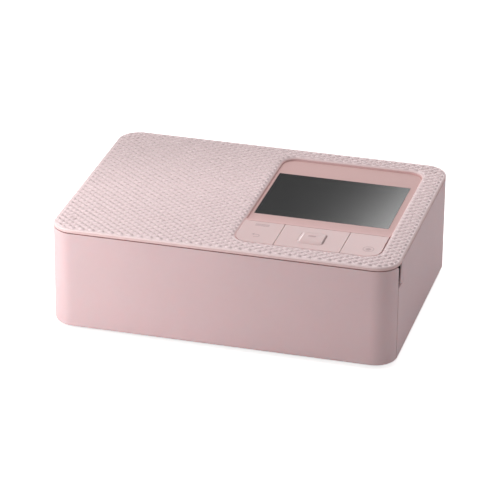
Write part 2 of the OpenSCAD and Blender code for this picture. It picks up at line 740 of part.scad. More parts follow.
module front_door() {
    rib_x = [-60, -30, 0, 30, 60];
    knuckle_w = 4;
    color(pink) difference() {
        union() {
            intersection() {
                around_casing() wall_section(door_wall);
                box([-body_w, -body_d, 0], [body_w, seam_y, body_h]);
            }
            // ribs behind the face
            for (x = rib_x)
                box([x - 0.6, front_y + door_wall - 0.2, hinge_z + 6],
                    [x + 0.6, front_y + door_wall + 1.4, shell_z - 4]);
            box([-side_x + corner_r, front_y + door_wall - 0.2, shell_z - 5],
                [side_x - corner_r, front_y + door_wall + 1.4, shell_z - 3.8]);
            // hinge knuckles on both sides of each ear
            for (sx = [-1, 1], k = [-1, 1]) {
                x = sx * hinge_x + k * (ear_w / 2 + 0.3 + knuckle_w / 2);
                bar_x([hinge_y, hinge_z], knuckle_r, x - knuckle_w / 2, x + knuckle_w / 2);
                box([x - knuckle_w / 2, front_y + door_wall - 0.2, hinge_z - 1],
                    [x + knuckle_w / 2, hinge_y, hinge_z + knuckle_r]);
            }
            // catches that enter the front frame
            for (sx = [-1, 1])
                box([sx * catch_x - 3, front_y + door_wall - 0.2, catch_z],
                    [sx * catch_x + 3, frame_y + 1, catch_z + 1.6]);
        }
        for (sx = [-1, 1]) {
            bar_x([hinge_y, hinge_z], pin_r + pin_play, sx * hinge_x - ear_w - 5,
                  sx * hinge_x + ear_w + 5);
            bar_x([hinge_y, hinge_z], knuckle_r + 0.25, sx * hinge_x - ear_w / 2 - 0.3,
                  sx * hinge_x + ear_w / 2 + 0.3);
        }
        // rear corners of the wrapped sides, bevelled so that they clear the housing
        for (z = [foot_h, shell_z])
            translate([0, seam_y, z]) rotate([45, 0, 0])
                cube([body_w + 2, sqrt(2) * door_bevel, sqrt(2) * door_bevel], center = true);
    }
}
catch_x = 70;
catch_z = shell_z - 7;

module door_pins() {
    color(steel) for (sx = [-1, 1])
        bar_x([hinge_y, hinge_z], pin_r, sx * hinge_x - ear_w / 2 - 3.8,
              sx * hinge_x + ear_w / 2 + 3.8);
}

module front_frame() {
    half = side_x - wall - 0.6;
    top = shell_z - 1.4;
    color(pink_dark) difference() {
        union() {
            box([-half, frame_y, floor_z + 0.1], [half, frame_back_y, top]);
            // raised lip round the mouth
            box([plate_x0 - 1, frame_y - 1, mouth_z0 - 1], [plate_x1 + 1, frame_y + eps,
                                                           mouth_z0 + mouth_h + 1.5]);
        }
        box([plate_x0 + 0.5, frame_y - 3, mouth_z0],
            [plate_x1 - 0.5, frame_back_y + 1, mouth_z0 + mouth_h]);
        // slot for a memory card
        box([reader_x0 + reader_wall - 0.2, frame_y - 1, pcb_top_z + 0.5],
            [reader_x1 - reader_wall + 0.2, frame_back_y + 1, pcb_top_z + 0.7 + card_h]);
        for (sx = [-1, 1]) {
            box([sx * catch_x - 3.8, frame_y - 1, catch_z - 1.2],
                [sx * catch_x + 3.8, frame_back_y + 1, catch_z + 2.8]);
            box([sx * (half + 8.3) - 10, frame_y - 1, notch_z0 - 2.5],
                [sx * (half + 8.3) + 10, frame_back_y + 1, body_h]);
        }
    }
}

// ---------- ink door ----------

module ink_door() {
    x0 = -side_x;
    y0 = ink_y0 + ink_seam;
    y1 = ink_y1 - ink_seam;
    z0 = ink_z0 + ink_seam;
    z1 = ink_z1 - ink_seam;
    round_r = 1.5;
    color(pink) difference() {
        union() {
            box([x0, y0, z0 + round_r], [x0 + wall, y1, z1]);
            box([x0 + round_r, y0, z0], [x0 + wall, y1, z0 + round_r + eps]);
            translate([x0 + round_r, y0, z0 + round_r]) rotate([-90, 0, 0])
                cylinder(r = round_r, h = y1 - y0);
            for (y = [y0, y1 - ink_knuckle_w]) {
                translate([ink_pin_x, y, ink_pin_z]) rotate([-90, 0, 0])
                    cylinder(r = ink_knuckle_r, h = ink_knuckle_w);
                box([x0 + 1, y, ink_pin_z - 0.8], [ink_pin_x, y + ink_knuckle_w,
                                                   ink_pin_z + ink_knuckle_r]);
            }
            // stiffening ribs inside
            for (z = [z0 + 10, z1 - 6])
                box([x0 + wall - 0.2, y0 + 7, z], [x0 + wall + 1.2, y1 - 7, z + 1.2]);
            box([x0 + wall - 0.2, y0 + 30, z0 + 6], [x0 + wall + 1.2, y0 + 31.2, z1 - 3]);
        }
        translate([ink_pin_x, y0 - 1, ink_pin_z]) rotate([-90, 0, 0])
            cylinder(r = ink_pin_r + pin_play, h = y1 - y0 + 2);
    }
}

module ink_door_pins() {
    color(steel) for (y = [ink_y0 - ink_ear_w, ink_y1 - ink_seam - ink_knuckle_w])
        translate([ink_pin_x, y, ink_pin_z]) rotate([-90, 0, 0])
            cylinder(r = ink_pin_r, h = ink_ear_w + ink_seam + ink_knuckle_w);
}

lever_at = [grip_y - 8, paper_z + 8.5];
lever_len = 12;
lever_x1 = plate_out_x0 - flange_t - 0.6;
lever_t = 2.6;
lever_pin_r = 1.2;

module ink_lever() {
    color([0.55, 0.45, 0.75]) along_x(lever_x1 - lever_t, lever_x1) difference() {
        union() {
            translate(lever_at) circle(r = 3.2);
            translate(lever_at) rotate(65) translate([0, -1.8]) square([lever_len, 3.6]);
            translate(lever_at + [lever_len * cos(65), lever_len * sin(65)]) soft_rect(10, 4, 1.5);
        }
        translate(lever_at) circle(r = lever_pin_r + bush_play);
    }
}

// ---------- feet and screws ----------

module rubber_feet() {
    color(dark) foot_places() cylinder(r = foot_r - fit_gap, h = foot_h + foot_sink);
}

module case_screws() {
    color(steel) screw_places() {
        translate([0, 0, foot_h + 0.1]) cylinder(r = 2.6, h = 1.3);
        translate([0, 0, foot_h + 0.1]) cylinder(r = 1.1, h = 12);
    }
}

// ---------- keys ----------

// One key cap of the row: the row's outline cut to the space between two x positions.
module key_cap(x0, x1, z0, z1) {
    intersection() {
        translate([panel_cx, panel_cy, z0]) linear_extrude(height = z1 - z0)
            soft_rect(panel_w - 2 * row_gap, panel_d - 2 * row_gap, panel_r - row_gap);
        box([x0 + key_gap, panel_y0, z0 - 1], [x1 - key_gap, key_y1 - key_gap, z1 + 1]);
    }
}

module stem(x, y) {
    translate([x, y, stem_z]) cylinder(r = 1.5, h = key_low_z - stem_z + eps);
}

module menu_key() {
    cx = panel_x0 + menu_w / 2;
    color(pink) {
        key_cap(panel_x0, menu_x1, key_low_z, key_top_z);
        for (k = [-1, 1]) stem(cx, key_cy + k * menu_throw);
    }
}

module nav_key() {
    color(pink) difference() {
        union() {
            key_cap(menu_x1, nav_x1, key_low_z, key_top_z);
            translate([nav_cx, key_cy, key_low_z - nav_plate_t])
                linear_extrude(height = nav_plate_t + eps) soft_rect(ok_w + 9, ok_w + 4, 3);
            for (k = [-1, 1]) translate([nav_cx, key_cy + k * nav_side_y, stem_z])
                cylinder(r = 1.2, h = key_low_z - stem_z + eps);
        }
        translate([nav_cx, key_cy, key_low_z - 2]) linear_extrude(height = 8)
            soft_rect(ok_w + 2 * ok_gap, ok_w + 2 * ok_gap, 2.5 + ok_gap);
    }
}

module nav_carrier() {
    top = key_low_z - nav_plate_t - carrier_gap;
    plate = 0.8;
    color(dark) difference() {
        union() {
            translate([nav_cx, key_cy, top - plate]) linear_extrude(height = plate)
                soft_rect(ok_w + 9, ok_w + 4, 3);
            for (k = [-1, 1]) translate([nav_cx + k * nav_side_x, key_cy, stem_z])
                cylinder(r = 1.2, h = top - plate - stem_z + eps);
        }
        translate([nav_cx, key_cy, stem_z - 1]) linear_extrude(height = 8)
            soft_rect(ok_w + 1, ok_w + 1, 2.8);
    }
}

module ok_button() {
    color(pink) {
        translate([nav_cx, key_cy, key_low_z]) linear_extrude(height = key_t - 0.25)
            soft_rect(ok_w, ok_w, 2.5);
        translate([nav_cx, key_cy, key_low_z]) linear_extrude(height = body_h - key_low_z)
            soft_rect(ok_w - 0.6, ok_w - 0.6, 2.2);
        stem(nav_cx, key_cy);
    }
}

module print_key() {
    cx = (nav_x1 + panel_x1) / 2;
    color(pink) {
        key_cap(nav_x1, panel_x1, key_low_z, key_top_z);
        stem(cx, key_cy);
    }
}

module key_board() {
    menu_cx = panel_x0 + menu_w / 2;
    print_cx = (nav_x1 + panel_x1) / 2;
    places = [[menu_cx, key_cy - menu_throw], [menu_cx, key_cy + menu_throw], [nav_cx, key_cy],
              [nav_cx - nav_side_x, key_cy], [nav_cx + nav_side_x, key_cy],
              [nav_cx, key_cy - nav_side_y], [nav_cx, key_cy + nav_side_y], [print_cx, key_cy]];
    color(board_green) {
        box([panel_x0 - 6, frame_back_y + 0.4, board_top_z - board_t],
            [panel_x1 + 6, key_y1 - 0.5, board_top_z]);
        for (p = places) translate([p[0], p[1], board_top_z - eps]) {
            translate([-2, -2, 0]) cube([4, 4, switch_h + eps]);
            cylinder(r = 0.9, h = switch_h + plunger_h);
        }
    }
}

// ---------- electronics ----------

module main_board() {
    color(board_green) difference() {
        union() {
            box([pcb_x0, frame_back_y + 0.4, pcb_z], [pcb_x1, rear_y - wall - 0.4, pcb_top_z]);
            box([pcb_x0 + 12, frame_back_y + 34, pcb_top_z - eps],
                [pcb_x0 + 24, frame_back_y + 46, pcb_top_z + 0.6]);
        }
        for (y = [frame_back_y + 10, 0, rear_y - 12], x = [pcb_x0 + 2.5, pcb_x1 - 2.5])
            translate([x, y, pcb_z - 1]) cylinder(r = 1.1, h = 4);
    }
}

module card_reader() {
    color(steel) difference() {
        box([reader_x0, frame_back_y + 0.3, pcb_top_z],
            [reader_x1, frame_back_y + 0.3 + reader_l, pcb_top_z + reader_h]);
        box([reader_x0 + reader_wall, frame_back_y - 1, pcb_top_z + 0.6],
            [reader_x1 - reader_wall, frame_back_y + reader_l - 2 * reader_wall,
             pcb_top_z + 0.6 + card_h]);
    }
}

module usb_socket() {
    y0 = rear_y - wall - 7;
    y1 = rear_y - 0.8;
    cz = pcb_top_z + 1.7;
    color(steel) difference() {
        translate([usb_x, 0, cz]) along_y(y0, y1) soft_rect(9, 3.3, 1.5);
        translate([usb_x, 0, cz]) along_y(y0 + 1, y1 + 1) difference() {
            soft_rect(8.3, 2.6, 1.2);
            square([6.6, 0.7], center = true);
        }
    }
}

module dc_jack() {
    y1 = rear_y - wall - 0.3;
    y0 = y1 - 11;
    cz = pcb_top_z + 4.5;
    color(dark) {
        difference() {
            box([jack_x - 4.5, y0, pcb_top_z], [jack_x + 4.5, y1, pcb_top_z + 9]);
            translate([jack_x, y1 + 1, cz]) rotate([90, 0, 0]) cylinder(r = 2.75, h = 10);
        }
        translate([jack_x, y1 - 0.6, cz]) rotate([90, 0, 0]) cylinder(r = 0.85, h = 9);
    }
}

module battery_terminal() {
    y1 = rear_y - 1;
    z0 = floor_z + 2.7;
    color(dark) difference() {
        union() {
            box([paper_cx - 12.7, rear_y - wall - 3, z0], [paper_cx + 12.7, y1, z0 + 6.4]);
            box([paper_cx - 14, rear_y - wall - 3, floor_z + 0.1],
                [paper_cx + 14, rear_y - wall - 0.3, z0 + 7]);
        }
        for (i = [-2 : 2])
            box([paper_cx + i * 4.6 - 0.7, y1 - 2, z0 + 1], [paper_cx + i * 4.6 + 0.7, y1 + 1,
                                                           z0 + 5.4]);
    }
}

// ---------- chassis ----------

module chassis_base() {
    stop_y = grip_y - 5.6;
    hole_step = 22;
    hole_w = 12;
    hole_l = 18;
    color(steel) {
        difference() {
            box([plate_out_x0, plate_y0, base_z], [plate_out_x1, plate_y1, base_top_z]);
            for (x = [paper_x0 + 6 : hole_step : paper_x1 - 10], y = [stop_y - 26, stop_y + 34])
                translate([x, y, base_z - 1]) linear_extrude(height = 4)
                    soft_rect(hole_w, hole_l, 3);
        }
        // feet of the base on the floor
        for (x = [plate_x0 + 6, paper_cx, plate_x1 - 6], y = [plate_y0 + 6, plate_y1 - 8])
            translate([x, y, floor_z]) cylinder(r = 3, h = base_z - floor_z + eps);
        // bent-up stop behind the paper
        box([paper_x0 - 6, stop_y, base_z], [paper_x1 + 6, stop_y + base_t, paper_z - 7.5]);
    }
}

// Outline shared by the two side plates, as (y, z).
module plate_outline() {
    difference() {
        union() {
            translate([plate_y0, base_top_z])
                square([plate_y1 - plate_y0, plate_top_z - base_top_z]);
            translate([pivot_y - 6, plate_top_z - 1]) square([plate_y1 - pivot_y + 6,
                                                            plate_ear_z - plate_top_z + 1]);
        }
        // corner cut away at the front top
        translate([plate_y0 - 1, plate_top_z + 1]) rotate(-45) square([8, 16], center = true);
        for (p = [pickup_at, grip_at, pinch_at, platen_at]) translate(p) circle(r = bush_r + eps);
        translate(pivot_at) circle(r = pivot_r + eps);
    }
}

module left_side_plate() {
    color(steel) {
        along_x(plate_out_x0, plate_x0) difference() {
            plate_outline();
            translate([window_y0, window_z0])
                square([window_y1 - window_y0, window_z1 - window_z0]);
        }
        bar_x(lever_at, lever_pin_r, lever_x1 - lever_t - 0.4, plate_x0);
    }
}

module right_side_plate() {
    color(steel) along_x(plate_x1, plate_out_x1) difference() {
        plate_outline();
        for (p = [takeup_at, supply_at]) translate(p) circle(r = bush_r + eps);
        // slot for the head's follower pin
        translate([follower_at[0] - follower_r - 0.6, follower_at[1] - follower_r
                   - follower_drop - 0.6]) square([2 * follower_r + 1.6, 20]);
    }
}

module rear_tie() {
    color(steel) {
        box([plate_x0, tie_y, paper_z + 9], [plate_x1, tie_y + 1.2, plate_ear_z]);
        box([plate_x0, tie_y, paper_z + 9], [plate_x1, tie_y + 4, paper_z + 10.2]);
    }
}

module top_tie() {
    y0 = plate_y0 + 14;
    y1 = takeup_at[0] + 5;
    color(steel) {
        difference() {
            box([plate_x0, y0, plate_top_z - 1.6], [plate_x1, y1, plate_top_z - 0.4]);
            for (x = [plate_x0 + 16 : 24 : plate_x1 - 16])
                translate([x, (y0 + y1) / 2, plate_top_z - 3]) linear_extrude(height = 6)
                    soft_rect(12, 24, 4);
        }
        box([plate_x0, y0, plate_top_z - 8], [plate_x1, y0 + 1.2, plate_top_z - 0.4]);
    }
}

module upper_guide() {
    z0 = mouth_z0 + mouth_h + 0.5;
    y1 = plate_y0 + 17;
    color(dark) {
        box([plate_x0, frame_back_y + 0.05, z0], [plate_x1, y1, z0 + 1.5]);
        for (i = [-4 : 4])
            box([paper_cx + i * 11 - 0.5, frame_back_y + 1, z0 - 1.5], [paper_cx + i * 11 + 0.5, y1,
                                                                      z0 + eps]);
    }
}

module guide_bed(y0, y1) {
    bed_z = paper_z - 3;
    color(dark) {
        box([plate_x0, y0, bed_z], [plate_x1, y1, bed_z + 1.8]);
        for (i = [-5 : 5])
            box([paper_cx + i * 9.6 - 0.5, y0, bed_z], [paper_cx + i * 9.6 + 0.5, y1,
                                                       paper_z - 0.6]);
        box([plate_x0, y0, bed_z - 4], [plate_x1, y0 + 1.2, bed_z + eps]);
    }
}

module front_guide() {
    guide_bed(grip_y + grip_r + 1, platen_y - platen_r - 1);
}

module rear_guide() {
    guide_bed(platen_y + platen_r + 1.5, rear_y - wall - 0.3);
}

module bush(at, side) {
    x0 = side > 0 ? plate_x1 : plate_out_x0 - flange_t;
    xf = side > 0 ? plate_out_x1 : plate_out_x0 - flange_t;
    difference() {
        union() {
            bar_x(at, bush_r, x0, x0 + plate_t + flange_t);
            bar_x(at, bush_flange_r, xf, xf + flange_t);
        }
        bar_x(at, journal_r + bush_play, x0 - 1, x0 + plate_t + flange_t + 1);
    }
}

module shaft_bushes() {
    color([0.35, 0.28, 0.20]) {
        for (p = [pickup_at, grip_at, pinch_at, platen_at]) {
            bush(p, 1);
            bush(p, -1);
        }
        bush(takeup_at, 1);
        bush(supply_at, 1);
    }
}

// ---------- rollers ----------

shaft_x0 = plate_out_x0 - flange_t - 0.3;
shaft_x1 = train_x + gear_w + 0.3;

module cored_shaft(at, core_r, core_x0, core_x1) {
    bar_x(at, journal_r, shaft_x0, shaft_x1);
    bar_x(at, core_r, core_x0, core_x1);
}

module pickup_shaft() {
    color(steel) cored_shaft(pickup_at, 2.5, plate_x0 + 1, plate_x1 - 1);
}

module pickup_tyres() {
    tyre_r = pickup_at[1] - paper_z;
    tyre_w = 12;
    for (x = [paper_cx - 0.22 * paper_w, paper_cx + 0.22 * paper_w])
        color(dark) difference() {
            bar_x(pickup_at, tyre_r, x - tyre_w / 2, x + tyre_w / 2);
            bar_x(pickup_at, 2.5 + eps, x - tyre_w, x + tyre_w);
        }
}

module pickup_gear() {
    gear(pickup_at, pickup_n, pickup_turn, train_x, gear_w, journal_r + eps);
}

module grip_roller() {
    color(steel) cored_shaft(grip_at, grip_r, paper_x0 - 3, paper_x1 + 3);
}

module grip_gear() {
    gear(grip_at, grip_n, 0, train_x, gear_w, journal_r + eps);
}

module pinch_roller() {
    color(dark) {
        bar_x(pinch_at, grip_r, paper_x0 - 3, paper_x1 + 3);
        bar_x(pinch_at, journal_r, shaft_x0, plate_out_x1 + flange_t + 0.3);
    }
}

module platen_shaft() {
    color(steel) cored_shaft(platen_at, 2.5, plate_x0 + 1, plate_x1 - 1);
}

module platen_roller() {
    color([0.12, 0.12, 0.12]) difference() {
        bar_x(platen_at, platen_r, paper_x0 - 3, paper_x1 + 3);
        bar_x(platen_at, 2.5 + eps, paper_x0 - 4, paper_x1 + 4);
    }
}

module platen_gear() {
    gear(platen_at, platen_n, platen_turn, train_x, gear_w, journal_r + eps);
}

module idler_gear() {
    gear(idler_at, idler_n, idler_turn, train_x, gear_w, journal_r + bush_play);
}

// Ribbed hub that turns an ink spool.
module spool_hub(at, x_end) {
    color(gear_white) {
        bar_x(at, journal_r, plate_x1 - 2, x_end);
        bar_x(at, 5.5, plate_x1 - 1.6, plate_x1 - 0.3);
        bar_x(at, 3.2, plate_x1 - 6, plate_x1 - 1);
        for (k = [0 : 2])
            translate([plate_x1 - 6, at[0], at[1]]) rotate([120 * k, 0, 0])
                box([0, -0.6, 0], [5, 0.6, 4.6]);
    }
}

module takeup_hub() {
    spool_hub(takeup_at, shaft_x1);
}

module takeup_gear() {
    gear(takeup_at, takeup_n, takeup_turn, train_x, gear_w, journal_r + eps);
}

module supply_hub() {
    spool_hub(supply_at, plate_out_x1 + flange_t + 1.4);
    color(gear_white) bar_x(supply_at, 2.8, plate_out_x1 + flange_t + 0.3, plate_out_x1 + flange_t
                            + 1.5);
}

// ---------- gear train ----------

module reduction_gear() {
    gear(reduce_at, reduce_small_n, reduce_turn, train_x, gear_w + layer_gap + eps,
         journal_r + bush_play);
    gear(reduce_at, reduce_big_n, reduce_turn, motor_x, gear_w, journal_r + bush_play);
}

bracket_z = pcb_top_z + reader_h + 0.6;
pillars = [[plate_y0 + 5, plate_top_z - 5.6], [platen_y + 14, bracket_z + 3.4],
           [pivot_y + 2, pivot_z - 8], [grip_y, plate_top_z - 4.6]];

module gear_bracket() {
    color(steel) {
        along_x(bracket_x, can_x) difference() {
            translate([plate_y0 + 1, bracket_z])
                square([plate_y1 - plate_y0 - 2, plate_top_z - bracket_z - 1.2]);
            for (p = [reduce_at, idler_at, cam_at]) translate(p) circle(r = journal_r + eps);
            translate(motor_at) circle(r = 3.1);
            translate(head_pinion_at) circle(r = 2.1);
        }
        for (p = pillars) bar_x(p, 2.2, plate_out_x1, bracket_x + eps);
    }
}

module gear_axles() {
    color(steel) for (p = [reduce_at, idler_at, cam_at]) bar_x(p, journal_r, plate_out_x1, can_x);
}

module motor_can(at, r, l, boss_r) {
    color(steel) difference() {
        union() {
            bar_x(at, r, can_x, can_x + l);
            bar_x(at, boss_r, can_x - 1, can_x + eps);
            bar_x(at, boss_r + 1, can_x + l - eps, can_x + l + 1.4);
        }
        bar_x(at, 1.1, can_x - 2, can_x + 4);
    }
}

module feed_motor() {
    motor_can(motor_at, feed_can_r, feed_can_l, 3);
}

module motor_pinion() {
    gear(motor_at, motor_n, motor_turn, motor_x, gear_w, 0.9);
    color(steel) bar_x(motor_at, 1, motor_x, can_x + 3.5);
}

module head_motor() {
    motor_can(head_pinion_at, head_can_r, head_can_l, 2);
}

module head_pinion() {
    gear(head_pinion_at, head_pinion_n, head_pinion_turn, cam_gear_x, gear_w, 0.9);
    color(steel) bar_x(head_pinion_at, 1, cam_gear_x, can_x + 3.5);
}

// Heart-shaped cam whose edge falls evenly from its largest radius over half a turn.
function cam_edge(steps) = [for (i = [0 : steps - 1]) let(
    a = i * 360 / steps,
    off = abs(a > 270 ? a - 450 : a - 90),
    r = cam_r - follower_drop * off / 180
) r * [cos(a), sin(a)]];

module head_cam() {
    gear(cam_at, cam_n, 0, cam_gear_x, gear_w, journal_r + bush_play);
    color(gear_white) translate([0, cam_at[0], cam_at[1]]) along_x(cam_x, cam_gear_x + eps)
        difference() {
            polygon(cam_edge(72));
            circle(r = journal_r + bush_play);
        }
}

// ---------- print head ----------

arm_x0 = plate_x0 + 2;
arm_x1 = plate_x1 - 2;

module head_arm() {
    barrel_r = pivot_r + 1;
    color(steel) difference() {
        union() {
            box([arm_x0, head_y - sink_d / 2, arm_z], [arm_x1, pivot_y - 6, arm_z + arm_t]);
            for (x = [arm_x0, arm_x1 - 10]) {
                bar_x(pivot_at, barrel_r, x, x + 10);
                box([x, pivot_y - 7, arm_z], [x + 10, pivot_y, arm_z + arm_t]);
            }
            for (x = [arm_x0, arm_x1 - 1.2])
                box([x, head_y - sink_d / 2, arm_z - 3], [x + 1.2, follower_at[0] + 6,
                                                         arm_z + arm_t]);
            bar_x(follower_at, follower_r, arm_x1 - 0.6, cam_x + cam_w - 0.2);
        }
        bar_x(pivot_at, pivot_r + bush_play, plate_x0, plate_x1);
        for (x = [arm_x0 + 24 : 26 : arm_x1 - 24])
            translate([x, (head_y + sink_d / 2 + pivot_y - 6) / 2, arm_z - 1])
                linear_extrude(height = 6) soft_rect(12, 10, 3);
    }
}

head_low_z = paper_z + 3.8;

module heat_sink() {
    z0 = head_low_z + 1.7;
    fins = 5;
    pitch = (arm_z - z0 - 3) / fins;
    color([0.78, 0.79, 0.80]) along_x(paper_x0 - 3, paper_x1 + 3) difference() {
        translate([head_y - sink_d / 2, z0]) square([sink_d, arm_z - z0]);
        for (k = [-1, 1], i = [0 : fins - 1])
            translate([head_y + k * sink_d / 2 - 1.6, z0 + 2 + i * pitch]) square([3.2, pitch / 2]);
    }
}

module thermal_head() {
    top = head_low_z + 1.7;
    color([0.85, 0.84, 0.80]) difference() {
        union() {
            box([paper_x0 - 3, head_y - 3.5, top - 1.2], [paper_x1 + 3, head_y + 3.5, top]);
            bar_x([head_y, head_low_z + 1.2], 1.2, paper_x0 - 2, paper_x1 + 2);
        }
        box([plate_x0, head_y - 5, top], [plate_x1, head_y + 5, top + 3]);
    }
}

module head_pivot() {
    color(steel) bar_x(pivot_at, pivot_r, plate_out_x0 - 0.8, plate_out_x1 + 0.8);
}

// Coil of a torsion spring laid round the pivot shaft, with one leg on the arm and one on the tie.
module torsion_spring(x0) {
    turns = 9;
    wire_r = 0.5;
    coil_r = pivot_r + wire_r + 0.35;
    leg_run = 18;
    leg_drop = 2.1;
    for (i = [0 : turns - 1])
        translate([x0 + wire_r + i * 0.96, pivot_at[0], pivot_at[1]]) rotate([0, 90, 0])
            rotate_extrude() translate([coil_r, 0]) circle(r = wire_r, $fn = 24);
    translate([x0 + wire_r, pivot_at[0], pivot_at[1] + coil_r])
        rotate([90 + atan2(leg_drop, leg_run), 0, 0])
            cylinder(r = wire_r, h = leg_run);
    translate([x0 + wire_r + (turns - 1) * 0.96, pivot_at[0] + coil_r, pivot_at[1] - 8])
        cylinder(r = wire_r, h = 8);
}

module head_springs() {
    spring_side = 14;
    spring_step = 30;
    color(steel) for (x = [arm_x0 + spring_side, arm_x0 + spring_side + spring_step])
        torsion_spring(x);
}

bottom_case();
side_housing();
top_cover();
panel_bezel();
lcd_window();
lcd_module();
front_door();
door_pins();
front_frame();
ink_door();
ink_door_pins();
ink_lever();
rubber_feet();
case_screws();
menu_key();
nav_key();
nav_carrier();
ok_button();
print_key();
key_board();
main_board();
card_reader();
usb_socket();
dc_jack();
battery_terminal();
chassis_base();
left_side_plate();
right_side_plate();
rear_tie();
top_tie();
upper_guide();
front_guide();
rear_guide();
shaft_bushes();
pickup_shaft();
pickup_tyres();
pickup_gear();
grip_roller();
grip_gear();
pinch_roller();
platen_shaft();
platen_roller();
platen_gear();
idler_gear();
takeup_hub();
takeup_gear();
supply_hub();
reduction_gear();
gear_bracket();
gear_axles();
feed_motor();
motor_pinion();
head_arm();
heat_sink();
thermal_head();
head_pivot();
head_springs();
head_cam();
head_motor();
head_pinion();
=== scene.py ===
# %% [markdown]
# # A compact photo printer
# The printer is a low box of pale pink plastic. Its top is moulded with a field of soft bumps, and
# a display and four keys lie in a sunk panel on the right. The solids come packed as a fixed frame,
# already in metres and already in place. This lesson dresses them: it adds what is too fine for the
# solids, gives every piece a finish, and lights the whole like a catalogue picture.

# %% Load the frame
import json
import math

import bpy
from mathutils import Matrix, Vector


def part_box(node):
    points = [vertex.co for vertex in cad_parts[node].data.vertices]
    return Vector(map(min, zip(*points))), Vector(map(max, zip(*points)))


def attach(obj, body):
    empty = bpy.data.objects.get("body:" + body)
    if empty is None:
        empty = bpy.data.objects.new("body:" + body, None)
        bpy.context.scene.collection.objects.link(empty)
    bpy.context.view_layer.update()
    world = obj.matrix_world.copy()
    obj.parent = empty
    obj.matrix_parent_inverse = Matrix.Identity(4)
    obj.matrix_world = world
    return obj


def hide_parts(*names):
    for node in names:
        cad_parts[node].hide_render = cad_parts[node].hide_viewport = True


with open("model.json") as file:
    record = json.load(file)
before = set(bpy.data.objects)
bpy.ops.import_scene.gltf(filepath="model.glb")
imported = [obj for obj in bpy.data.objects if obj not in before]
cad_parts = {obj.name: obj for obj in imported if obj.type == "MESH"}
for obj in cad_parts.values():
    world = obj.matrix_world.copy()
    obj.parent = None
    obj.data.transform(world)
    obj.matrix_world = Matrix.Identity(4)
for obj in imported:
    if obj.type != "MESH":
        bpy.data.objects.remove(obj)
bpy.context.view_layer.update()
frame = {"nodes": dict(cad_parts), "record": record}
nodes = frame["nodes"]
MM = 0.001
print("pieces in the frame:", len(nodes))

# %% [markdown]
# ## The camera
# A picture of a product is taken from far away with a long lens, so its edges stay nearly parallel.
# A camera can be placed by hand, or aimed with a constraint. Here it is placed by numbers: the
# direction it looks from as two angles, the point it looks at, and its distance. A small roll
# finishes it. The lens is the long one that shows the box at the right size from that distance; it
# is given as a number of pixels, which a 36 mm wide sensor turns into millimetres.

# %% Place the camera
CAMERA_TURN = math.radians(14.885)
CAMERA_RISE = math.radians(25.284)
CAMERA_ROLL = math.radians(0.624)
CAMERA_DISTANCE = 1574.501 * MM
AIM_RIGHT = -1.56 * MM
AIM_UP = -2.15 * MM
AIM_HEIGHT = 28.8 * MM
SENSOR = 36.0
PICTURE_PIXELS = 500
FOCAL_PIXELS = 2986.5
LENS = FOCAL_PIXELS * SENSOR / PICTURE_PIXELS
SEES_AS_FAR_AS = 20

back = Vector((math.sin(CAMERA_TURN) * math.cos(CAMERA_RISE),
               -math.cos(CAMERA_TURN) * math.cos(CAMERA_RISE), math.sin(CAMERA_RISE)))
level_right = Vector((math.cos(CAMERA_TURN), math.sin(CAMERA_TURN), 0))
level_up = back.cross(level_right)
camera_right = level_right * math.cos(CAMERA_ROLL) + level_up * math.sin(CAMERA_ROLL)
camera_up = level_up * math.cos(CAMERA_ROLL) - level_right * math.sin(CAMERA_ROLL)
aim = Vector((0, 0, AIM_HEIGHT)) + level_right * AIM_RIGHT + level_up * AIM_UP

camera = bpy.data.objects.new("camera", bpy.data.cameras.new("camera"))
bpy.context.scene.collection.objects.link(camera)
camera.data.sensor_width = SENSOR
camera.data.lens = LENS
camera.data.clip_end = SEES_AS_FAR_AS
camera.matrix_world = Matrix.Translation(aim + back * CAMERA_DISTANCE) @ Matrix(
    (camera_right, camera_up, back)).transposed().to_4x4()
bpy.context.scene.camera = camera
print("lens in mm:", round(LENS, 1))

# %% [markdown]
# ## The room
# The printer stands in a white room. A picture of a room could light it, but the photo shows no
# room, so an even faint light from all sides does. Only the camera sees that room as plain white;
# the printer gets a quarter of it, and the lamps give the rest.

# %% White surroundings
scene = bpy.context.scene
scene.view_settings.view_transform = "Standard"
WORLD_LIGHT = 0.25
WORLD_TINT = (1, 0.985, 0.985, 1)
WHITE = (1, 1, 1, 1)


def link(tree, a, b):
    """Joins an output socket to an input socket."""
    tree.links.new(a, b)


def white_room():
    """Even light all round, and plain white where the camera sees past the floor."""
    world = bpy.data.worlds.new("white_room")
    world.use_nodes = True
    tree = world.node_tree
    tree.nodes.clear()
    out = tree.nodes.new("ShaderNodeOutputWorld")
    mix = tree.nodes.new("ShaderNodeMixShader")
    light = tree.nodes.new("ShaderNodeBackground")
    seen = tree.nodes.new("ShaderNodeBackground")
    ray = tree.nodes.new("ShaderNodeLightPath")
    light.inputs["Color"].default_value = WORLD_TINT
    light.inputs["Strength"].default_value = WORLD_LIGHT
    seen.inputs["Color"].default_value = WHITE
    seen.inputs["Strength"].default_value = 1
    link(tree, ray.outputs["Is Camera Ray"], mix.inputs["Fac"])
    link(tree, light.outputs[0], mix.inputs[1])
    link(tree, seen.outputs[0], mix.inputs[2])
    link(tree, mix.outputs[0], out.inputs["Surface"])
    return world


scene.world = white_room()
print("the room gives this share of white:", WORLD_LIGHT)

# %% [markdown]
# ## The floor
# The printer stands on a white table. A floor that is lit until it clips would throw its light back
# on the object, so the floor stays an ordinary pale surface, and only rays that come straight from
# the camera see it whitened. A shadow still shows on it.

# %% Pale floor
FLOOR_TONE = 0.90
FLOOR_VARIES = 0.01
FLOOR_GRAIN = 30
FLOOR_GLOW = 0.75
FLOOR_HALF = 4.0


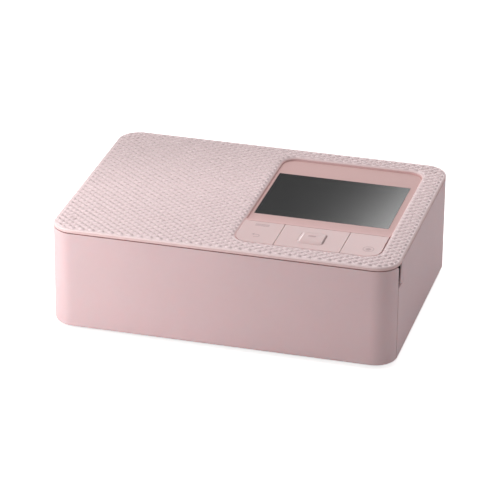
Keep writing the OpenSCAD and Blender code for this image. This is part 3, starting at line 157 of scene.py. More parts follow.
def floor_finish():
    """A pale matt table. Camera rays see it lifted towards white, all other rays see it plain."""
    made = bpy.data.materials.new("white_table")
    made.use_nodes = True
    tree = made.node_tree
    tree.nodes.clear()
    out = tree.nodes.new("ShaderNodeOutputMaterial")
    matt = tree.nodes.new("ShaderNodeBsdfDiffuse")
    glow = tree.nodes.new("ShaderNodeEmission")
    both = tree.nodes.new("ShaderNodeAddShader")
    mix = tree.nodes.new("ShaderNodeMixShader")
    ray = tree.nodes.new("ShaderNodeLightPath")
    grain = tree.nodes.new("ShaderNodeTexNoise")
    tint = tree.nodes.new("ShaderNodeMapRange")
    grain.inputs["Scale"].default_value = FLOOR_GRAIN
    tint.inputs["To Min"].default_value = FLOOR_TONE - FLOOR_VARIES
    tint.inputs["To Max"].default_value = FLOOR_TONE + FLOOR_VARIES
    link(tree, grain.outputs["Fac"], tint.inputs["Value"])
    link(tree, tint.outputs["Result"], matt.inputs["Color"])
    glow.inputs["Strength"].default_value = FLOOR_GLOW
    link(tree, matt.outputs[0], both.inputs[0])
    link(tree, glow.outputs[0], both.inputs[1])
    link(tree, ray.outputs["Is Camera Ray"], mix.inputs["Fac"])
    link(tree, matt.outputs[0], mix.inputs[1])
    link(tree, both.outputs[0], mix.inputs[2])
    link(tree, mix.outputs[0], out.inputs["Surface"])
    return made


mesh = bpy.data.meshes.new("table_top")
mesh.from_pydata([(-FLOOR_HALF, -FLOOR_HALF, 0), (FLOOR_HALF, -FLOOR_HALF, 0),
                  (FLOOR_HALF, FLOOR_HALF, 0), (-FLOOR_HALF, FLOOR_HALF, 0)], [], [(0, 1, 2, 3)])
table_top = bpy.data.objects.new("table_top", mesh)
scene.collection.objects.link(table_top)
mesh.materials.append(floor_finish())
print("table reaches in metres:", 2 * FLOOR_HALF)

# %% [markdown]
# ## The lamps
# A catalogue picture is lit with soft boxes, large even panels of light. Point lamps would throw
# hard shadows and small hot spots. Two boxes stand low at the left front: the left end of the door
# is almost white from them, and it darkens evenly to the right. Two hang over the top, the stronger
# one at the left. A wide one far off keeps the right side from going black. A small one far behind
# skims over the top, and the left slope of the middle button mirrors it as a bright spot.


# %% Lamps
def soft_box(name, place, target, size, watts, colour=(1, 1, 1)):
    """A rectangular lamp at place, aimed at target, both in metres."""
    data = bpy.data.lights.new(name, "AREA")
    data.shape = "RECTANGLE"
    data.size, data.size_y = size
    data.energy = watts
    data.color = colour
    lamp = bpy.data.objects.new(name, data)
    lamp.location = place
    lamp.rotation_euler = (Vector(target) - Vector(place)).to_track_quat("-Z", "Y").to_euler()
    scene.collection.objects.link(lamp)
    return lamp


# Each lamp: where it stands, what it looks at, its size, its power and, where it isn't white, its
# tint. Places and sizes are in metres, powers in watts.
LAMPS = {
    "low_left": ((-0.25, -0.27, 0.10), (-0.05, -0.03, 0.03), (0.15, 0.15), 0.455),
    "near_left": ((-0.30, -0.12, 0.14), (-0.05, -0.03, 0.03), (0.12, 0.12), 0.10),
    "over_left": ((-0.25, 0.0, 0.45), (-0.04, -0.03, 0.05), (0.30, 0.30), 1.02),
    "over_right": ((0.30, -0.05, 0.70), (0.03, 0.0, 0.05), (0.40, 0.40), 0.38),
    "right_side": ((0.80, 0.35, 0.20), (0.0, 0.0, 0.03), (0.60, 0.40), 0.60, (1, 0.97, 1.03)),
    "glint": ((-0.203, 0.482, 0.215), (0.042, -0.042, 0.057), (0.10, 0.07), 0.11),
}
for name, lamp in LAMPS.items():
    soft_box(name, *lamp)
print("lamps:", ", ".join(LAMPS))

# %% [markdown]
# ## What the display mirrors
# The display is dark glass, so what one sees in it is whatever lies where the line of sight goes
# after it bounces off. A square lamp stands there, turned by half a right angle, and its edge
# passes just beside the bounced lines. The glass is slightly matt, which smears that edge into the
# slow ramp from dark at the left to bright at the lower right.

# %% The lamp that the display mirrors
MIRROR_AWAY = 0.45
CARD_SIDE = 0.20
CARD_OFF = 0.038
CARD_WATTS = 0.56
pane_low, pane_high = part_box("lcd_window")
pane_middle = Vector(((pane_low[0] + pane_high[0]) / 2, (pane_low[1] + pane_high[1]) / 2,
                      pane_high[2]))
bounce = Vector((-back.x, -back.y, back.z))
card_right = bounce.cross(Vector((0, 0, 1))).normalized()
card_up = card_right.cross(bounce)
card_axis = (card_right + card_up).normalized()
card = soft_box("mirrored_card", (0, 0, 1), (0, 0, 0), (CARD_SIDE, CARD_SIDE), CARD_WATTS)
card.matrix_world = Matrix.Translation(
    pane_middle + bounce * MIRROR_AWAY + card_axis * (CARD_OFF + CARD_SIDE / 2)) @ Matrix(
    (card_axis, bounce.cross(card_axis), bounce)).transposed().to_4x4()
print("mirrored lamp is away from the pane in mm:", round(MIRROR_AWAY / MM))

# %% [markdown]
# ## Finishes
# A finish is a small network of nodes. Each one here starts from the place on the object in
# millimetres, so a grain has its real size on every piece without any unwrapping. The plain values
# sit on the shader's own sockets, and only what varies over the surface is joined to it.
#
# The first makes the material and the few kinds of node that all the rest is built from: the place
# in millimetres, noise, and one range turned into another.


# %% A bare material and its basic nodes
class Surface:
    """A material with a Principled shader, and its place in millimetres."""

    def __init__(self, name, colour, rough, metal=0.0, spec=0.5):
        self.made = bpy.data.materials.new(name)
        self.made.use_nodes = True
        self.tree = self.made.node_tree
        self.shader = self.tree.nodes["Principled BSDF"]
        self.colour = colour
        self.put("Base Color", (*colour, 1))
        self.put("Roughness", rough)
        self.put("Metallic", metal)
        self.put("Specular IOR Level", spec)
        self.normal = None
        self.tint = None
        place = self.tree.nodes.new("ShaderNodeTexCoord")
        scale = self.tree.nodes.new("ShaderNodeMapping")
        scale.inputs["Scale"].default_value = (1 / MM, 1 / MM, 1 / MM)
        link(self.tree, place.outputs["Object"], scale.inputs["Vector"])
        self.mm = scale.outputs["Vector"]

    def put(self, socket, value):
        """Sets a plain value straight on the shader's socket."""
        self.shader.inputs[socket].default_value = value

    def node(self, kind, **values):
        """A new node, with its sockets or its own settings filled in."""
        made = self.tree.nodes.new(kind)
        for key, value in values.items():
            if key in made.inputs:
                made.inputs[key].default_value = value
            else:
                setattr(made, key, value)
        return made

    def stretched(self, stretch):
        """The place in millimetres, stretched along the axes, for brushed and drawn surfaces."""
        made = self.node("ShaderNodeMapping")
        made.inputs["Scale"].default_value = stretch
        link(self.tree, self.mm, made.inputs["Vector"])
        return made.outputs["Vector"]

    def noise(self, size_mm, detail=2.0, rough=0.5, at=None):
        """Soft random patches about size_mm across, always the same ones."""
        made = self.node("ShaderNodeTexNoise", Scale=1 / size_mm, Detail=detail, Roughness=rough)
        link(self.tree, at or self.mm, made.inputs["Vector"])
        return made.outputs["Fac"]

    def ranged(self, value, low, high, from_low=0.0, from_high=1.0):
        """Turns from_low to from_high into low to high, and stops at both ends."""
        made = self.node("ShaderNodeMapRange")
        made.inputs["From Min"].default_value = from_low
        made.inputs["From Max"].default_value = from_high
        made.inputs["To Min"].default_value = low
        made.inputs["To Max"].default_value = high
        link(self.tree, value, made.inputs["Value"])
        return made.outputs["Result"]


print("a millimetre is in scene units:", MM)

# %% [markdown]
# ## Relief and gloss
# A real surface is never quite flat or quite even. The next three ways stand for that: a grain that
# bumps it, edges that are never quite sharp, and a gloss that wanders. All of them could be real
# geometry, but they are far finer than the mesh, so only the light is told about them.

# %% Relief and gloss
GLOSS_LOW, GLOSS_HIGH = 0.25, 0.75
BEVEL_SAMPLES = 6


class Relief(Surface):
    """A surface with grain, soft edges and an uneven gloss."""

    def bump(self, value, height_mm):
        """Raises the surface by height_mm where value is 1, for the light only."""
        made = self.node("ShaderNodeBump", Strength=1.0, Distance=height_mm * MM)
        link(self.tree, value, made.inputs["Height"])
        if self.normal:
            link(self.tree, self.normal, made.inputs["Normal"])
        self.normal = made.outputs["Normal"]
        return self

    def soften_edges(self, radius_mm):
        """A moulded or stamped edge is never sharp: it shades as if it were rounded."""
        made = self.node("ShaderNodeBevel", Radius=radius_mm * MM)
        made.samples = BEVEL_SAMPLES
        self.normal = made.outputs["Normal"]
        return self

    def vary_gloss(self, size_mm, low, high):
        """Roughness that wanders between two values."""
        rough = self.ranged(self.noise(size_mm, 2.0), low, high, GLOSS_LOW, GLOSS_HIGH)
        link(self.tree, rough, self.shader.inputs["Roughness"])
        return self


print("samples for a soft edge:", BEVEL_SAMPLES)

# %% [markdown]
# ## Colour that changes over a surface
# A Mix node has its colours on numbered sockets, hence the names of the numbers.

# %% Changes of colour
MIX_SHARE, MIX_FROM, MIX_TO, MIX_RESULT = 0, 6, 7, 2
EDGE_TURNED, EDGE_FLAT = 0.86, 0.995
CORNER_SHUT, CORNER_OPEN = 0.1, 0.65
NOISE_LOW, NOISE_HIGH = 0.3, 0.7
WEAR_SAMPLES = 4
CREASE_SAMPLES = 6


def darker(colour, share):
    """A colour with this share of its light; a share over 1 makes it paler."""
    return tuple(min(1, c * share) for c in colour)


class Finish(Relief):
    """A whole finish: relief, gloss, and colours laid over each other."""

    def blend(self, mask, other):
        """Lays another colour over what is there, as far as the mask says."""
        made = self.tree.nodes.new("ShaderNodeMix")
        made.data_type = "RGBA"
        link(self.tree, mask, made.inputs[MIX_SHARE])
        if self.tint:
            link(self.tree, self.tint, made.inputs[MIX_FROM])
        else:
            made.inputs[MIX_FROM].default_value = (*self.colour, 1)
        made.inputs[MIX_TO].default_value = (*other, 1)
        self.tint = made.outputs[MIX_RESULT]
        return self

    def blotch(self, size_mm, amount, towards=None):
        """Slow change of colour over the surface, up to amount of the way to another colour."""
        other = towards or darker(self.colour, 0.8)
        mask = self.ranged(self.noise(size_mm, 3.0), 0, amount, NOISE_LOW, NOISE_HIGH)
        return self.blend(mask, other)

    def worn_edges(self, radius_mm, amount, other):
        """Edges that hands rub: where a rounded normal leaves the true one, the colour shifts."""
        soft = self.node("ShaderNodeBevel", Radius=radius_mm * MM)
        soft.samples = WEAR_SAMPLES
        true = self.node("ShaderNodeNewGeometry")
        dot = self.node("ShaderNodeVectorMath", operation="DOT_PRODUCT")
        link(self.tree, soft.outputs["Normal"], dot.inputs[0])
        link(self.tree, true.outputs["Normal"], dot.inputs[1])
        edge = self.ranged(dot.outputs["Value"], amount, 0, EDGE_TURNED, EDGE_FLAT)
        return self.blend(edge, other)

    def painted_crease_shade(self, reach_mm, other):
        """Painted shade and bounced light in gaps and inner corners, where little light gets in."""
        made = self.node("ShaderNodeAmbientOcclusion", Distance=reach_mm * MM)
        made.samples = CREASE_SAMPLES
        shade_mask = self.ranged(made.outputs["AO"], 1, 0, CORNER_SHUT, CORNER_OPEN)
        return self.blend(shade_mask, other)

    def done(self):
        """Joins what varies to the shader, and gives the material back."""
        if self.normal:
            link(self.tree, self.normal, self.shader.inputs["Normal"])
        if self.tint:
            link(self.tree, self.tint, self.shader.inputs["Base Color"])
        return self.made


print("samples for a rubbed edge and for a corner:", WEAR_SAMPLES, CREASE_SAMPLES)


# %% Colours as a screen shows them
def tone(r, g, b):
    """A colour as a screen shows it, 0 to 255, turned into the linear value a shader wants."""
    def one(v):
        v = v / 255
        return v / 12.92 if v <= 0.04045 else ((v + 0.055) / 1.055) ** 2.4
    return one(r), one(g), one(b)


print("a middle grey of the screen is this much light:", round(tone(128, 128, 128)[0], 3))

# %% [markdown]
# ## Plastic
# The casing is moulded in a tool whose faces were spark-eroded, which leaves an even, very fine
# grain: pits a tenth of a millimetre across. A bump from fine noise gives that grain. A slow blotch
# keeps a large face from looking like paint in a drawing, and rubbed edges come out a little paler.
# Gaps and deep corners get a painted shade, a darker and redder pink where little light gets in.
#
# Pale plastic is also a little milky. Light sinks in and comes out again a millimetre away, red
# further than green and blue, so a narrow gap in it looks reddish and not black. Only the casing
# and the keys need that; darker plastics let no light in.

# %% Moulded plastics
# All sizes are in millimetres; the light's reach is for red, green and blue.
LIGHT_REACH = (1.0, 0.4, 0.35)
SOFT_EDGE = 0.25
SLOW_BLOTCH = 26
FINE_BLOTCH = 3.0
RUBBED_EDGE = 0.5
CREASE_REACH = 2.0
GLOSS_PATCH = 1.5
GLOSS_RANGE = 0.05


def moulded(name, colour, rough, grain_mm, grain_high, edge=None, crease_shade=None, soften=SOFT_EDGE,
            milky=0.0):
    """Moulded plastic: edge is its rubbed colour; the next is painted shade for deep corners."""
    made = Finish(name, colour, rough)
    if milky:
        made.put("Subsurface Weight", milky)
        made.put("Subsurface Radius", LIGHT_REACH)
        made.put("Subsurface Scale", MM)
    made.soften_edges(soften)
    made.bump(made.noise(grain_mm, 3.0, 0.6), grain_high)
    made.blotch(SLOW_BLOTCH, 0.10)
    made.blotch(FINE_BLOTCH, 0.05, darker(colour, 1.15))
    if edge:
        made.worn_edges(RUBBED_EDGE, 0.5, edge)
    if crease_shade:
        # Painted shade in gaps and deep corners.
        made.painted_crease_shade(CREASE_REACH, crease_shade)
    made.vary_gloss(GLOSS_PATCH, rough - GLOSS_RANGE, rough + GLOSS_RANGE)
    return made.done()


print("a slow blotch is across in mm:", SLOW_BLOTCH)

# %% The plastics of the printer
PINK = tone(233, 203, 205)
PINK_KEYS = tone(229, 199, 198)
PINK_PALE = tone(243, 222, 222)
PINK_INNER = tone(212, 173, 170)
# A darker, redder pink, painted into gaps and deep corners as shade.
PINK_DEEP_SHADE = tone(196, 122, 120)
FINE_GRAIN = (0.12, 0.006)
INNER_GRAIN = (0.15, 0.008)
INNER_ROUGH = 0.6
# Each finish: its colour, roughness, size and height of its grain, then what else it has.
finishes = {
    "case_pink": moulded("pink_case", PINK, 0.55, *FINE_GRAIN, PINK_PALE, PINK_DEEP_SHADE, milky=0.4),
    "case_inner": moulded("pink_inner", PINK_INNER, INNER_ROUGH, *INNER_GRAIN, PINK_PALE,
                          PINK_DEEP_SHADE),
    "key_pink": moulded("pink_keys", PINK_KEYS, 0.45, 0.10, 0.003, PINK_PALE, soften=0.3,
                        milky=0.25),
    "key_carrier": moulded("carrier_brown", tone(158, 108, 106), 0.6, 0.2, 0.01),
    "lever_lilac": moulded("lever_lilac", tone(178, 160, 214), 0.35, 0.3, 0.003),
    "socket_black": moulded("socket_black", tone(28, 28, 30), 0.5, 0.2, 0.008),
    "guide_black": moulded("guide_black", tone(34, 34, 36), 0.45, 0.25, 0.01),
    "bush_brown": moulded("bush_brown", tone(92, 72, 52), 0.5, 0.3, 0.01),
    "gear_ivory": moulded("gear_ivory", tone(232, 228, 214), 0.35, 0.4, 0.004),
    "head_ceramic": moulded("head_ceramic", tone(226, 220, 204), 0.25, 0.5, 0.002),
}
print("plastics:", len(finishes))

# %% [markdown]
# ## The cover, the panel and the button's slopes
# These differ a little from the other plastics, and much of that is painted light. The cover is a
# deeper pink down its narrow side. A painted highlight makes it palest at the lip, a painted sheen
# makes its field paler where it faces up, and a painted shade greys the field slowly towards the
# back, where less light falls on it. One could paint that on, but a blend along the height and
# another along a slant keep it exact on any mesh. The bumps of the cover are real; the material
# only deepens their relief, after their height.
# The sunk panel is darker, and painted light pales it towards the keys. The middle button's left
# slope is polished, and its right one is painted in shade, because hardly any light gets to it.

# %% The cover's finish
DOME_H = 0.50 * MM
DOME_RELIEF = 1.5
cover_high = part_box("top_cover")[1]
FIELD_Z = cover_high[2] - DOME_H
# The field's tone is a painted sheen, the lip's a painted highlight, the crease's a painted shade.
PINK_TOP_SHEEN = tone(247, 224, 225)
PINK_RIM = tone(242, 206, 204)
PINK_LIP_HIGHLIGHT = tone(252, 226, 226)
PINK_CREASE_SHADE = tone(234, 188, 186)
LIP_HIGHLIGHT_FROM, LIP_HIGHLIGHT_UP_TO = 0.8, 0.5
SHEEN_FROM, SHEEN_UP_TO = 0.15, 0.02
# Painted shade: the field greys along this slant towards the back, where less light falls.
SHADE_FADE_ALONG = (-0.3, 0.8, 0)
SHADE_FADE_FROM, SHADE_FADE_TO = 15, 62
SHADE_FADE_SHARE = 0.8
TOP_ROUGH = 0.5


def top_finish():
    """The cover: deeper pink on its side, painted highlight at its lip, painted sheen on top."""
    made = Finish("pink_top", PINK_RIM, TOP_ROUGH)
    made.soften_edges(SOFT_EDGE)
    place = made.node("ShaderNodeSeparateXYZ")
    link(made.tree, made.mm, place.inputs["Vector"])
    height = place.outputs["Z"]
    field = FIELD_Z / MM
    made.bump(made.ranged(height, 0, 1, field, field + DOME_H / MM), DOME_RELIEF * DOME_H / MM)
    made.bump(made.noise(FINE_GRAIN[0], 3.0, 0.6), FINE_GRAIN[1])
    # Painted shade in gaps and corners.
    made.painted_crease_shade(CREASE_REACH, PINK_CREASE_SHADE)
    # Painted highlight: a paler band along the rounded lip.
    made.blend(made.ranged(height, 0, 1, field - LIP_HIGHLIGHT_FROM, field - LIP_HIGHLIGHT_UP_TO), PINK_LIP_HIGHLIGHT)
    # Painted sheen: the field that faces up is paler.
    made.blend(made.ranged(height, 0, 1, field - SHEEN_FROM, field - SHEEN_UP_TO), PINK_TOP_SHEEN)
    made.blotch(SLOW_BLOTCH, 0.10, darker(PINK_TOP_SHEEN, 0.85))
    # Painted shade: the field greys towards the back, where less light falls.
    slant = made.node("ShaderNodeVectorMath", operation="DOT_PRODUCT")
    slant.inputs[1].default_value = SHADE_FADE_ALONG
    link(made.tree, made.mm, slant.inputs[0])
    made.blend(made.ranged(slant.outputs["Value"], 0, SHADE_FADE_SHARE, SHADE_FADE_FROM, SHADE_FADE_TO),
               darker(PINK_TOP_SHEEN, 0.76))
    made.vary_gloss(GLOSS_PATCH, TOP_ROUGH - GLOSS_RANGE, TOP_ROUGH + GLOSS_RANGE)
    return made.done()


top_pink = top_finish()
print("field of the cover lies at mm:", round(FIELD_Z / MM, 2))

# %% The panel's finish
# A paler pink, painted on as light towards the keys.
PINK_BAR_PAINTED_LIGHT = tone(232, 192, 190)
PAINTED_LIGHT_FROM, PAINTED_LIGHT_TO = -28, -15


def panel_finish():
    """The sunk panel: a deeper pink, with painted light that pales it towards the keys."""
    made = Finish("pink_panel", PINK_INNER, INNER_ROUGH)
    made.soften_edges(SOFT_EDGE)
    made.bump(made.noise(INNER_GRAIN[0], 3.0, 0.6), INNER_GRAIN[1])
    made.blotch(SLOW_BLOTCH, 0.08)
    place = made.node("ShaderNodeSeparateXYZ")
    link(made.tree, made.mm, place.inputs["Vector"])
    # Painted light: the panel turns paler towards the keys.
    made.blend(made.ranged(place.outputs["Y"], 1, 0, PAINTED_LIGHT_FROM, PAINTED_LIGHT_TO), PINK_BAR_PAINTED_LIGHT)
    # Painted shade in gaps and corners.
    made.painted_crease_shade(CREASE_REACH, PINK_CREASE_SHADE)
    made.vary_gloss(GLOSS_PATCH, INNER_ROUGH - GLOSS_RANGE, INNER_ROUGH + GLOSS_RANGE)
    return made.done()


panel_pink = panel_finish()
print("panel pales over mm:", PAINTED_LIGHT_TO - PAINTED_LIGHT_FROM)


# %% The button's slopes
def polished(name, colour, rough, spec):
    """Plastic from a polished part of the tool: no grain, only the faintest waves."""
    made = Finish(name, colour, rough, spec=spec)
    return made.bump(made.noise(1.2, 2.0), 0.004).blotch(2, 0.1).done()


polished_pink = polished("polished_pink", tone(234, 206, 206), 0.16, 1.0)
# The right slope's darker tone is painted shade.
painted_shade_pink = polished("painted_shade_pink", tone(178, 149, 149), 0.35, 0.5)
print("slopes:", polished_pink.name, painted_shade_pink.name)

# %% [markdown]
# ## Metal
# Sheet steel in a machine like this is zinc plated: dull, with faint drawn lines and cloudy
# patches. Ground shafts are brighter, with fine rings round them. One finish does for all of them,
# because noise stretched along one axis gives drawn lines on a sheet and rings on a shaft.


# %% Metals
def plated(name, colour, rough, stretch, line_mm=0.12, line_high=0.004):
    """Plated or ground metal, with lines along the axis that has the smallest stretch."""
    made = Finish(name, colour, rough, metal=1.0)
    made.soften_edges(0.15)
    along = made.stretched(stretch)
    made.bump(made.noise(line_mm, 2.0, at=along), line_high)
    made.blotch(6, 0.35, darker(colour, 0.75))
    made.vary_gloss(2.0, rough - 0.08, rough + 0.1)
    return made.done()


finishes.update({
    "chassis_steel": plated("zinc_sheet", tone(186, 190, 196), 0.42, (0.08, 1, 1)),
    "shaft_steel": plated("ground_shaft", tone(205, 207, 210), 0.22, (1, 0.08, 0.08), 0.08, 0.002),
    "screw_steel": plated("screw_steel", tone(176, 178, 182), 0.35, (1, 1, 1)),
    "motor_can": plated("motor_can", tone(178, 182, 186), 0.38, (0.1, 1, 1)),
    "sink_aluminium": plated("extruded_sink", tone(208, 210, 214), 0.36, (0.05, 1, 1)),
    "socket_metal": plated("socket_shell", tone(210, 212, 216), 0.25, (1, 0.1, 1)),
    "display_module": plated("display_frame", tone(70, 72, 75), 0.5, (1, 1, 1)),
})
print("plastics and metals:", len(finishes))

# %% [markdown]
# ## Rubber, boards and the display's pane
# Rubber is dark and drinks the light, and dust gives it paler clouds. A circuit board is dark
# lacquer over copper lines on a square raster, and a brick pattern draws such a raster without any
# picture. The pane is dark glass with a matt coat against glare.


# %% Rubber
def rubber(name, colour, rough):
    """Rubber with a coarse skin and clouds of dust."""
    made = Finish(name, colour, rough, spec=0.35)
    made.soften_edges(0.2)
    made.bump(made.noise(0.25, 4.0, 0.7), 0.03)
    made.blotch(4, 0.3, darker(colour, 1.9))
    return made.done()


finishes["foot_rubber"] = rubber("foot_rubber", tone(44, 43, 44), 0.8)
finishes["tyre_rubber"] = rubber("tyre_rubber", tone(38, 38, 40), 0.7)
print("with the rubbers:", len(finishes))

# %% Circuit board and pane
BOARD_RASTER = {"Color1": (0, 0, 0, 1), "Color2": (0.2, 0.2, 0.2, 1), "Mortar": WHITE,
                "Mortar Size": 0.12, "Brick Width": 5.0, "Row Height": 1.3, "Scale": 1.0}


def board_finish():
    """Brown lacquer over copper lines, which stand up a little under it."""
    made = Finish("board_brown", tone(58, 26, 22), 0.4, spec=0.4)
    lines = made.node("ShaderNodeTexBrick")
    for socket, value in BOARD_RASTER.items():
        lines.inputs[socket].default_value = value
    link(made.tree, made.mm, lines.inputs["Vector"])
    made.blend(made.ranged(lines.outputs["Color"], 0, 0.6), tone(98, 54, 40))
    made.bump(lines.outputs["Color"], 0.03)
    made.blotch(9, 0.2)
    return made.done()


def pane_finish():
    """Dark glass with a matt coat against glare, and the faint cloud such a coat has."""
    made = Finish("display_pane", tone(12, 13, 13), 0.19, spec=0.5)
    made.bump(made.noise(0.06, 2.0), 0.0004)
    made.blotch(18, 0.25, tone(18, 19, 19))
    return made.done()


finishes["circuit_board"] = board_finish()
finishes["display_pane"] = pane_finish()
print("finishes:", len(finishes))

# %% [markdown]
# ## Dress the solids
# The frame says which slot each piece belongs to, and a slot has one finish. So the pieces needn't
# be named one by one. Only the cover and the panel get their own.

# %% Give each piece its finish
OWN_FINISH = {"top_cover": top_pink, "panel_bezel": panel_pink}
for entry in frame["record"]["subparts"]:
    mesh = nodes[entry["node"]].data
    mesh.materials.clear()
    mesh.materials.append(OWN_FINISH.get(entry["node"]) or finishes[entry["material_slot"]])

# %% [markdown]
# ## The bumps of the top
# The top is covered with low bumps in a staggered pattern, which repeats every five millimetres
# across the box and every four along it. Each bump is an oval that lies along the diagonal of the
# pattern, so seen from the front they run together into slanting stripes. They could be a bump in
# the material, but then the outline of the box would stay straight against the light. Thirteen
# hundred real bumps cost little: each one is a few rings of points round its crown, and all of them
# are one mesh. A bump that meets the edge of the field is cut there and sinks towards it. The
# solids already carry the four bumps at the corners of the pattern.
#
# First come the edges of the field, as a distance that any point can be asked for.

# %% The edges of the field
FIELD_EDGE = 1.0 * MM
HALF_W = cover_high[0] - FIELD_EDGE
HALF_D = cover_high[1] - FIELD_EDGE
FIELD_R = 11 * MM
PANEL = (2.2 * MM, -55.1 * MM, 80.4 * MM, 56.5 * MM, 8.8 * MM)


def inside_soft_rect(x, y, x0, y0, x1, y1, r):
    """Distance from a point to the edge of a rectangle with round corners; positive inside."""
    dx = abs(x - (x0 + x1) / 2) - (x1 - x0) / 2 + r
    dy = abs(y - (y0 + y1) / 2) - (y1 - y0) / 2 + r
    return r - math.hypot(max(dx, 0), max(dy, 0)) - min(max(dx, dy), 0)


def room_at(x, y):
    """How far a point of the field is from the rim and from the panel, whichever is nearer."""
    rim = inside_soft_rect(x, y, -HALF_W, -HALF_D, HALF_W, HALF_D, FIELD_R)
    return min(rim, -inside_soft_rect(x, y, *PANEL))


print("field reaches in mm:", round(2 * HALF_W / MM, 1), "by", round(2 * HALF_D / MM, 1))

# %% The rim and the height of a bump
DOME_LONG = 2.15 * MM
DOME_WIDE = 1.50 * MM
STEP_X = 5.182 * MM
STEP_Y = 4.242 * MM
LEAN = -math.atan2(STEP_Y, STEP_X)
FADE = 1.1 * MM
BACK_OFF = 0.04
LEAST_REACH = 0.02


def rim_point(a):
    """The rim of a bump seen from above: an oval that lies along the diagonal of the pattern."""
    along, across = DOME_LONG * math.cos(a), DOME_WIDE * math.sin(a)
    return (along * math.cos(LEAN) - across * math.sin(LEAN),
            along * math.sin(LEAN) + across * math.cos(LEAN))


def reach(cx, cy, dx, dy):
    """How much of the way to its rim a bump may go before it meets the edge of the field."""
    share = 1.0
    while share > 0 and room_at(cx + dx * share, cy + dy * share) < 0:
        share -= BACK_OFF
    return max(share, LEAST_REACH)


def bump_height(x, y, share):
    """A round cap that runs out where the field does."""
    return DOME_H * (1 - share ** 2) * min(1, max(0, room_at(x, y)) / FADE)


print("a bump leans by degrees:", round(math.degrees(LEAN), 1))

# %% The mesh of a bump
RINGS = 5
SPOKES = 16
RIM_SINKS = 0.01 * MM


def dome_points(cx, cy):
    """The crown, and rings round it; the last ring lies just under the field, so no slit shows."""
    points = [(cx, cy, FIELD_Z + bump_height(cx, cy, 0))]
    rim = [rim_point(2 * math.pi * spoke / SPOKES) for spoke in range(SPOKES)]
    free = [reach(cx, cy, dx, dy) for dx, dy in rim]
    for ring in range(1, RINGS + 1):
        sink = RIM_SINKS if ring == RINGS else 0
        for (dx, dy), most in zip(rim, free):
            share = most * ring / RINGS
            x, y = cx + dx * share, cy + dy * share
            points.append((x, y, FIELD_Z + bump_height(x, y, share) - sink))
    return points


def dome_faces(first):
    """Three-sided faces round the crown and four-sided ones between the rings."""
    faces = []
    for k in range(SPOKES):
        after = (k + 1) % SPOKES
        faces.append((first, first + 1 + k, first + 1 + after))
        for ring in range(RINGS - 1):
            a = first + 1 + ring * SPOKES
            b = a + SPOKES
            faces.append((a + k, b + k, b + after, a + after))
    return faces


print("a bump has points:", 1 + RINGS * SPOKES)

# %% The whole field
# Bumps stand on every second point of a grid that is counted from the bump FIRST.
FIRST = Vector((1.44 * MM, 1.99 * MM))
MOST_ACROSS, MOST_ALONG = 40, 36
CORNER_CAPS = (32, 26)
LEAST_ROOM = 0.1 * MM
points = []
faces = []
count = 0
for i in range(-MOST_ACROSS, MOST_ACROSS + 1):
    for j in range(-MOST_ALONG, MOST_ALONG + 1):
        if (i + j) % 2 or (abs(i), abs(j)) == CORNER_CAPS:
            continue
        x = FIRST.x + i * STEP_X / 2
        y = FIRST.y + j * STEP_Y / 2
        if room_at(x, y) < LEAST_ROOM:
            continue
        faces += dome_faces(len(points))
        points += dome_points(x, y)
        count += 1
print("domes:", count, "points:", len(points))


# %% Turn the field into a piece
def piece(name, points, faces, finish, body, smooth=True):
    """A new mesh piece that rides on a body."""
    mesh = bpy.data.meshes.new(name)
    mesh.from_pydata(points, [], faces)
    mesh.materials.append(finish)
    mesh.polygons.foreach_set("use_smooth", [smooth] * len(mesh.polygons))
    made = bpy.data.objects.new(name, mesh)
    scene.collection.objects.link(made)
    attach(made, body)
    return made


cover_domes = piece("cover_domes", points, faces, top_pink, "printer")
print("faces of the field:", len(cover_domes.data.polygons))

# %% [markdown]
# ## A lip round the keys
# The keys need play, but from above one hardly sees the gap at their left and front, because a thin
# lip stands out from the wall of the opening just under its sloped edge. It follows the opening
# round the front left corner and ends before the right one, where the gap stays open and dark. It
# is a bar with four long edges, swept along that path: two outlines, each at two heights.

# %% Lip under the edge of the opening
KEY_PLAY = 0.3 * MM
LIP_WIDE = 0.18 * MM
LIP_TOP = FIELD_Z - 0.82 * MM
LIP_FOOT = LIP_TOP - 0.7 * MM
LEFT, FRONT, ROUND = 3.0 * MM, -54.3 * MM, 8.0 * MM
LIP_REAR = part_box("menu_key")[1][1]
LIP_END = 70 * MM
LIP_STEPS = 12
LONG_EDGES = 4


def lip_path(inset):
    """The opening's outline from its left side round the corner, moved inwards by inset."""
    path = [(LEFT + inset, LIP_REAR)]
    for k in range(LIP_STEPS + 1):
        a = math.radians(180 + 90 * k / LIP_STEPS)
        path.append((LEFT + ROUND + (ROUND - inset) * math.cos(a),
                     FRONT + ROUND + (ROUND - inset) * math.sin(a)))
    return path + [(LIP_END, FRONT + inset)]


outer = lip_path(0)
inner = lip_path(LIP_WIDE)
n = len(outer)
points = [(x, y, z) for path, z in ((outer, LIP_FOOT), (inner, LIP_FOOT), (inner, LIP_TOP),
                                    (outer, LIP_TOP)) for x, y in path]
faces = [(a * n + k, a * n + k + 1, b * n + k + 1, b * n + k)
         for a in range(LONG_EDGES) for b in [(a + 1) % LONG_EDGES] for k in range(n - 1)]
faces += [(0, n, 2 * n, 3 * n), (4 * n - 1, 3 * n - 1, 2 * n - 1, n - 1)]
key_lip = piece("key_lip", points, faces, top_pink, "printer", smooth=False)
print("lip leaves the keys a gap in mm:", round((KEY_PLAY - LIP_WIDE) / MM, 2))

# %% [markdown]
# ## The middle button
# The button in the arrow key is a rounded square with a crown that slopes to its left and right and
# runs out towards its front and back. The left slope mirrors a lamp as a bright spot and the right,
# steeper one falls into shade, deepened by a painted shade on that slope; that is how one sees that
# the button stands proud. It is built as a stack of outlines, each one a square with round corners,
# from the foot to the crown. A bevelled box would slope the same way on all four sides.


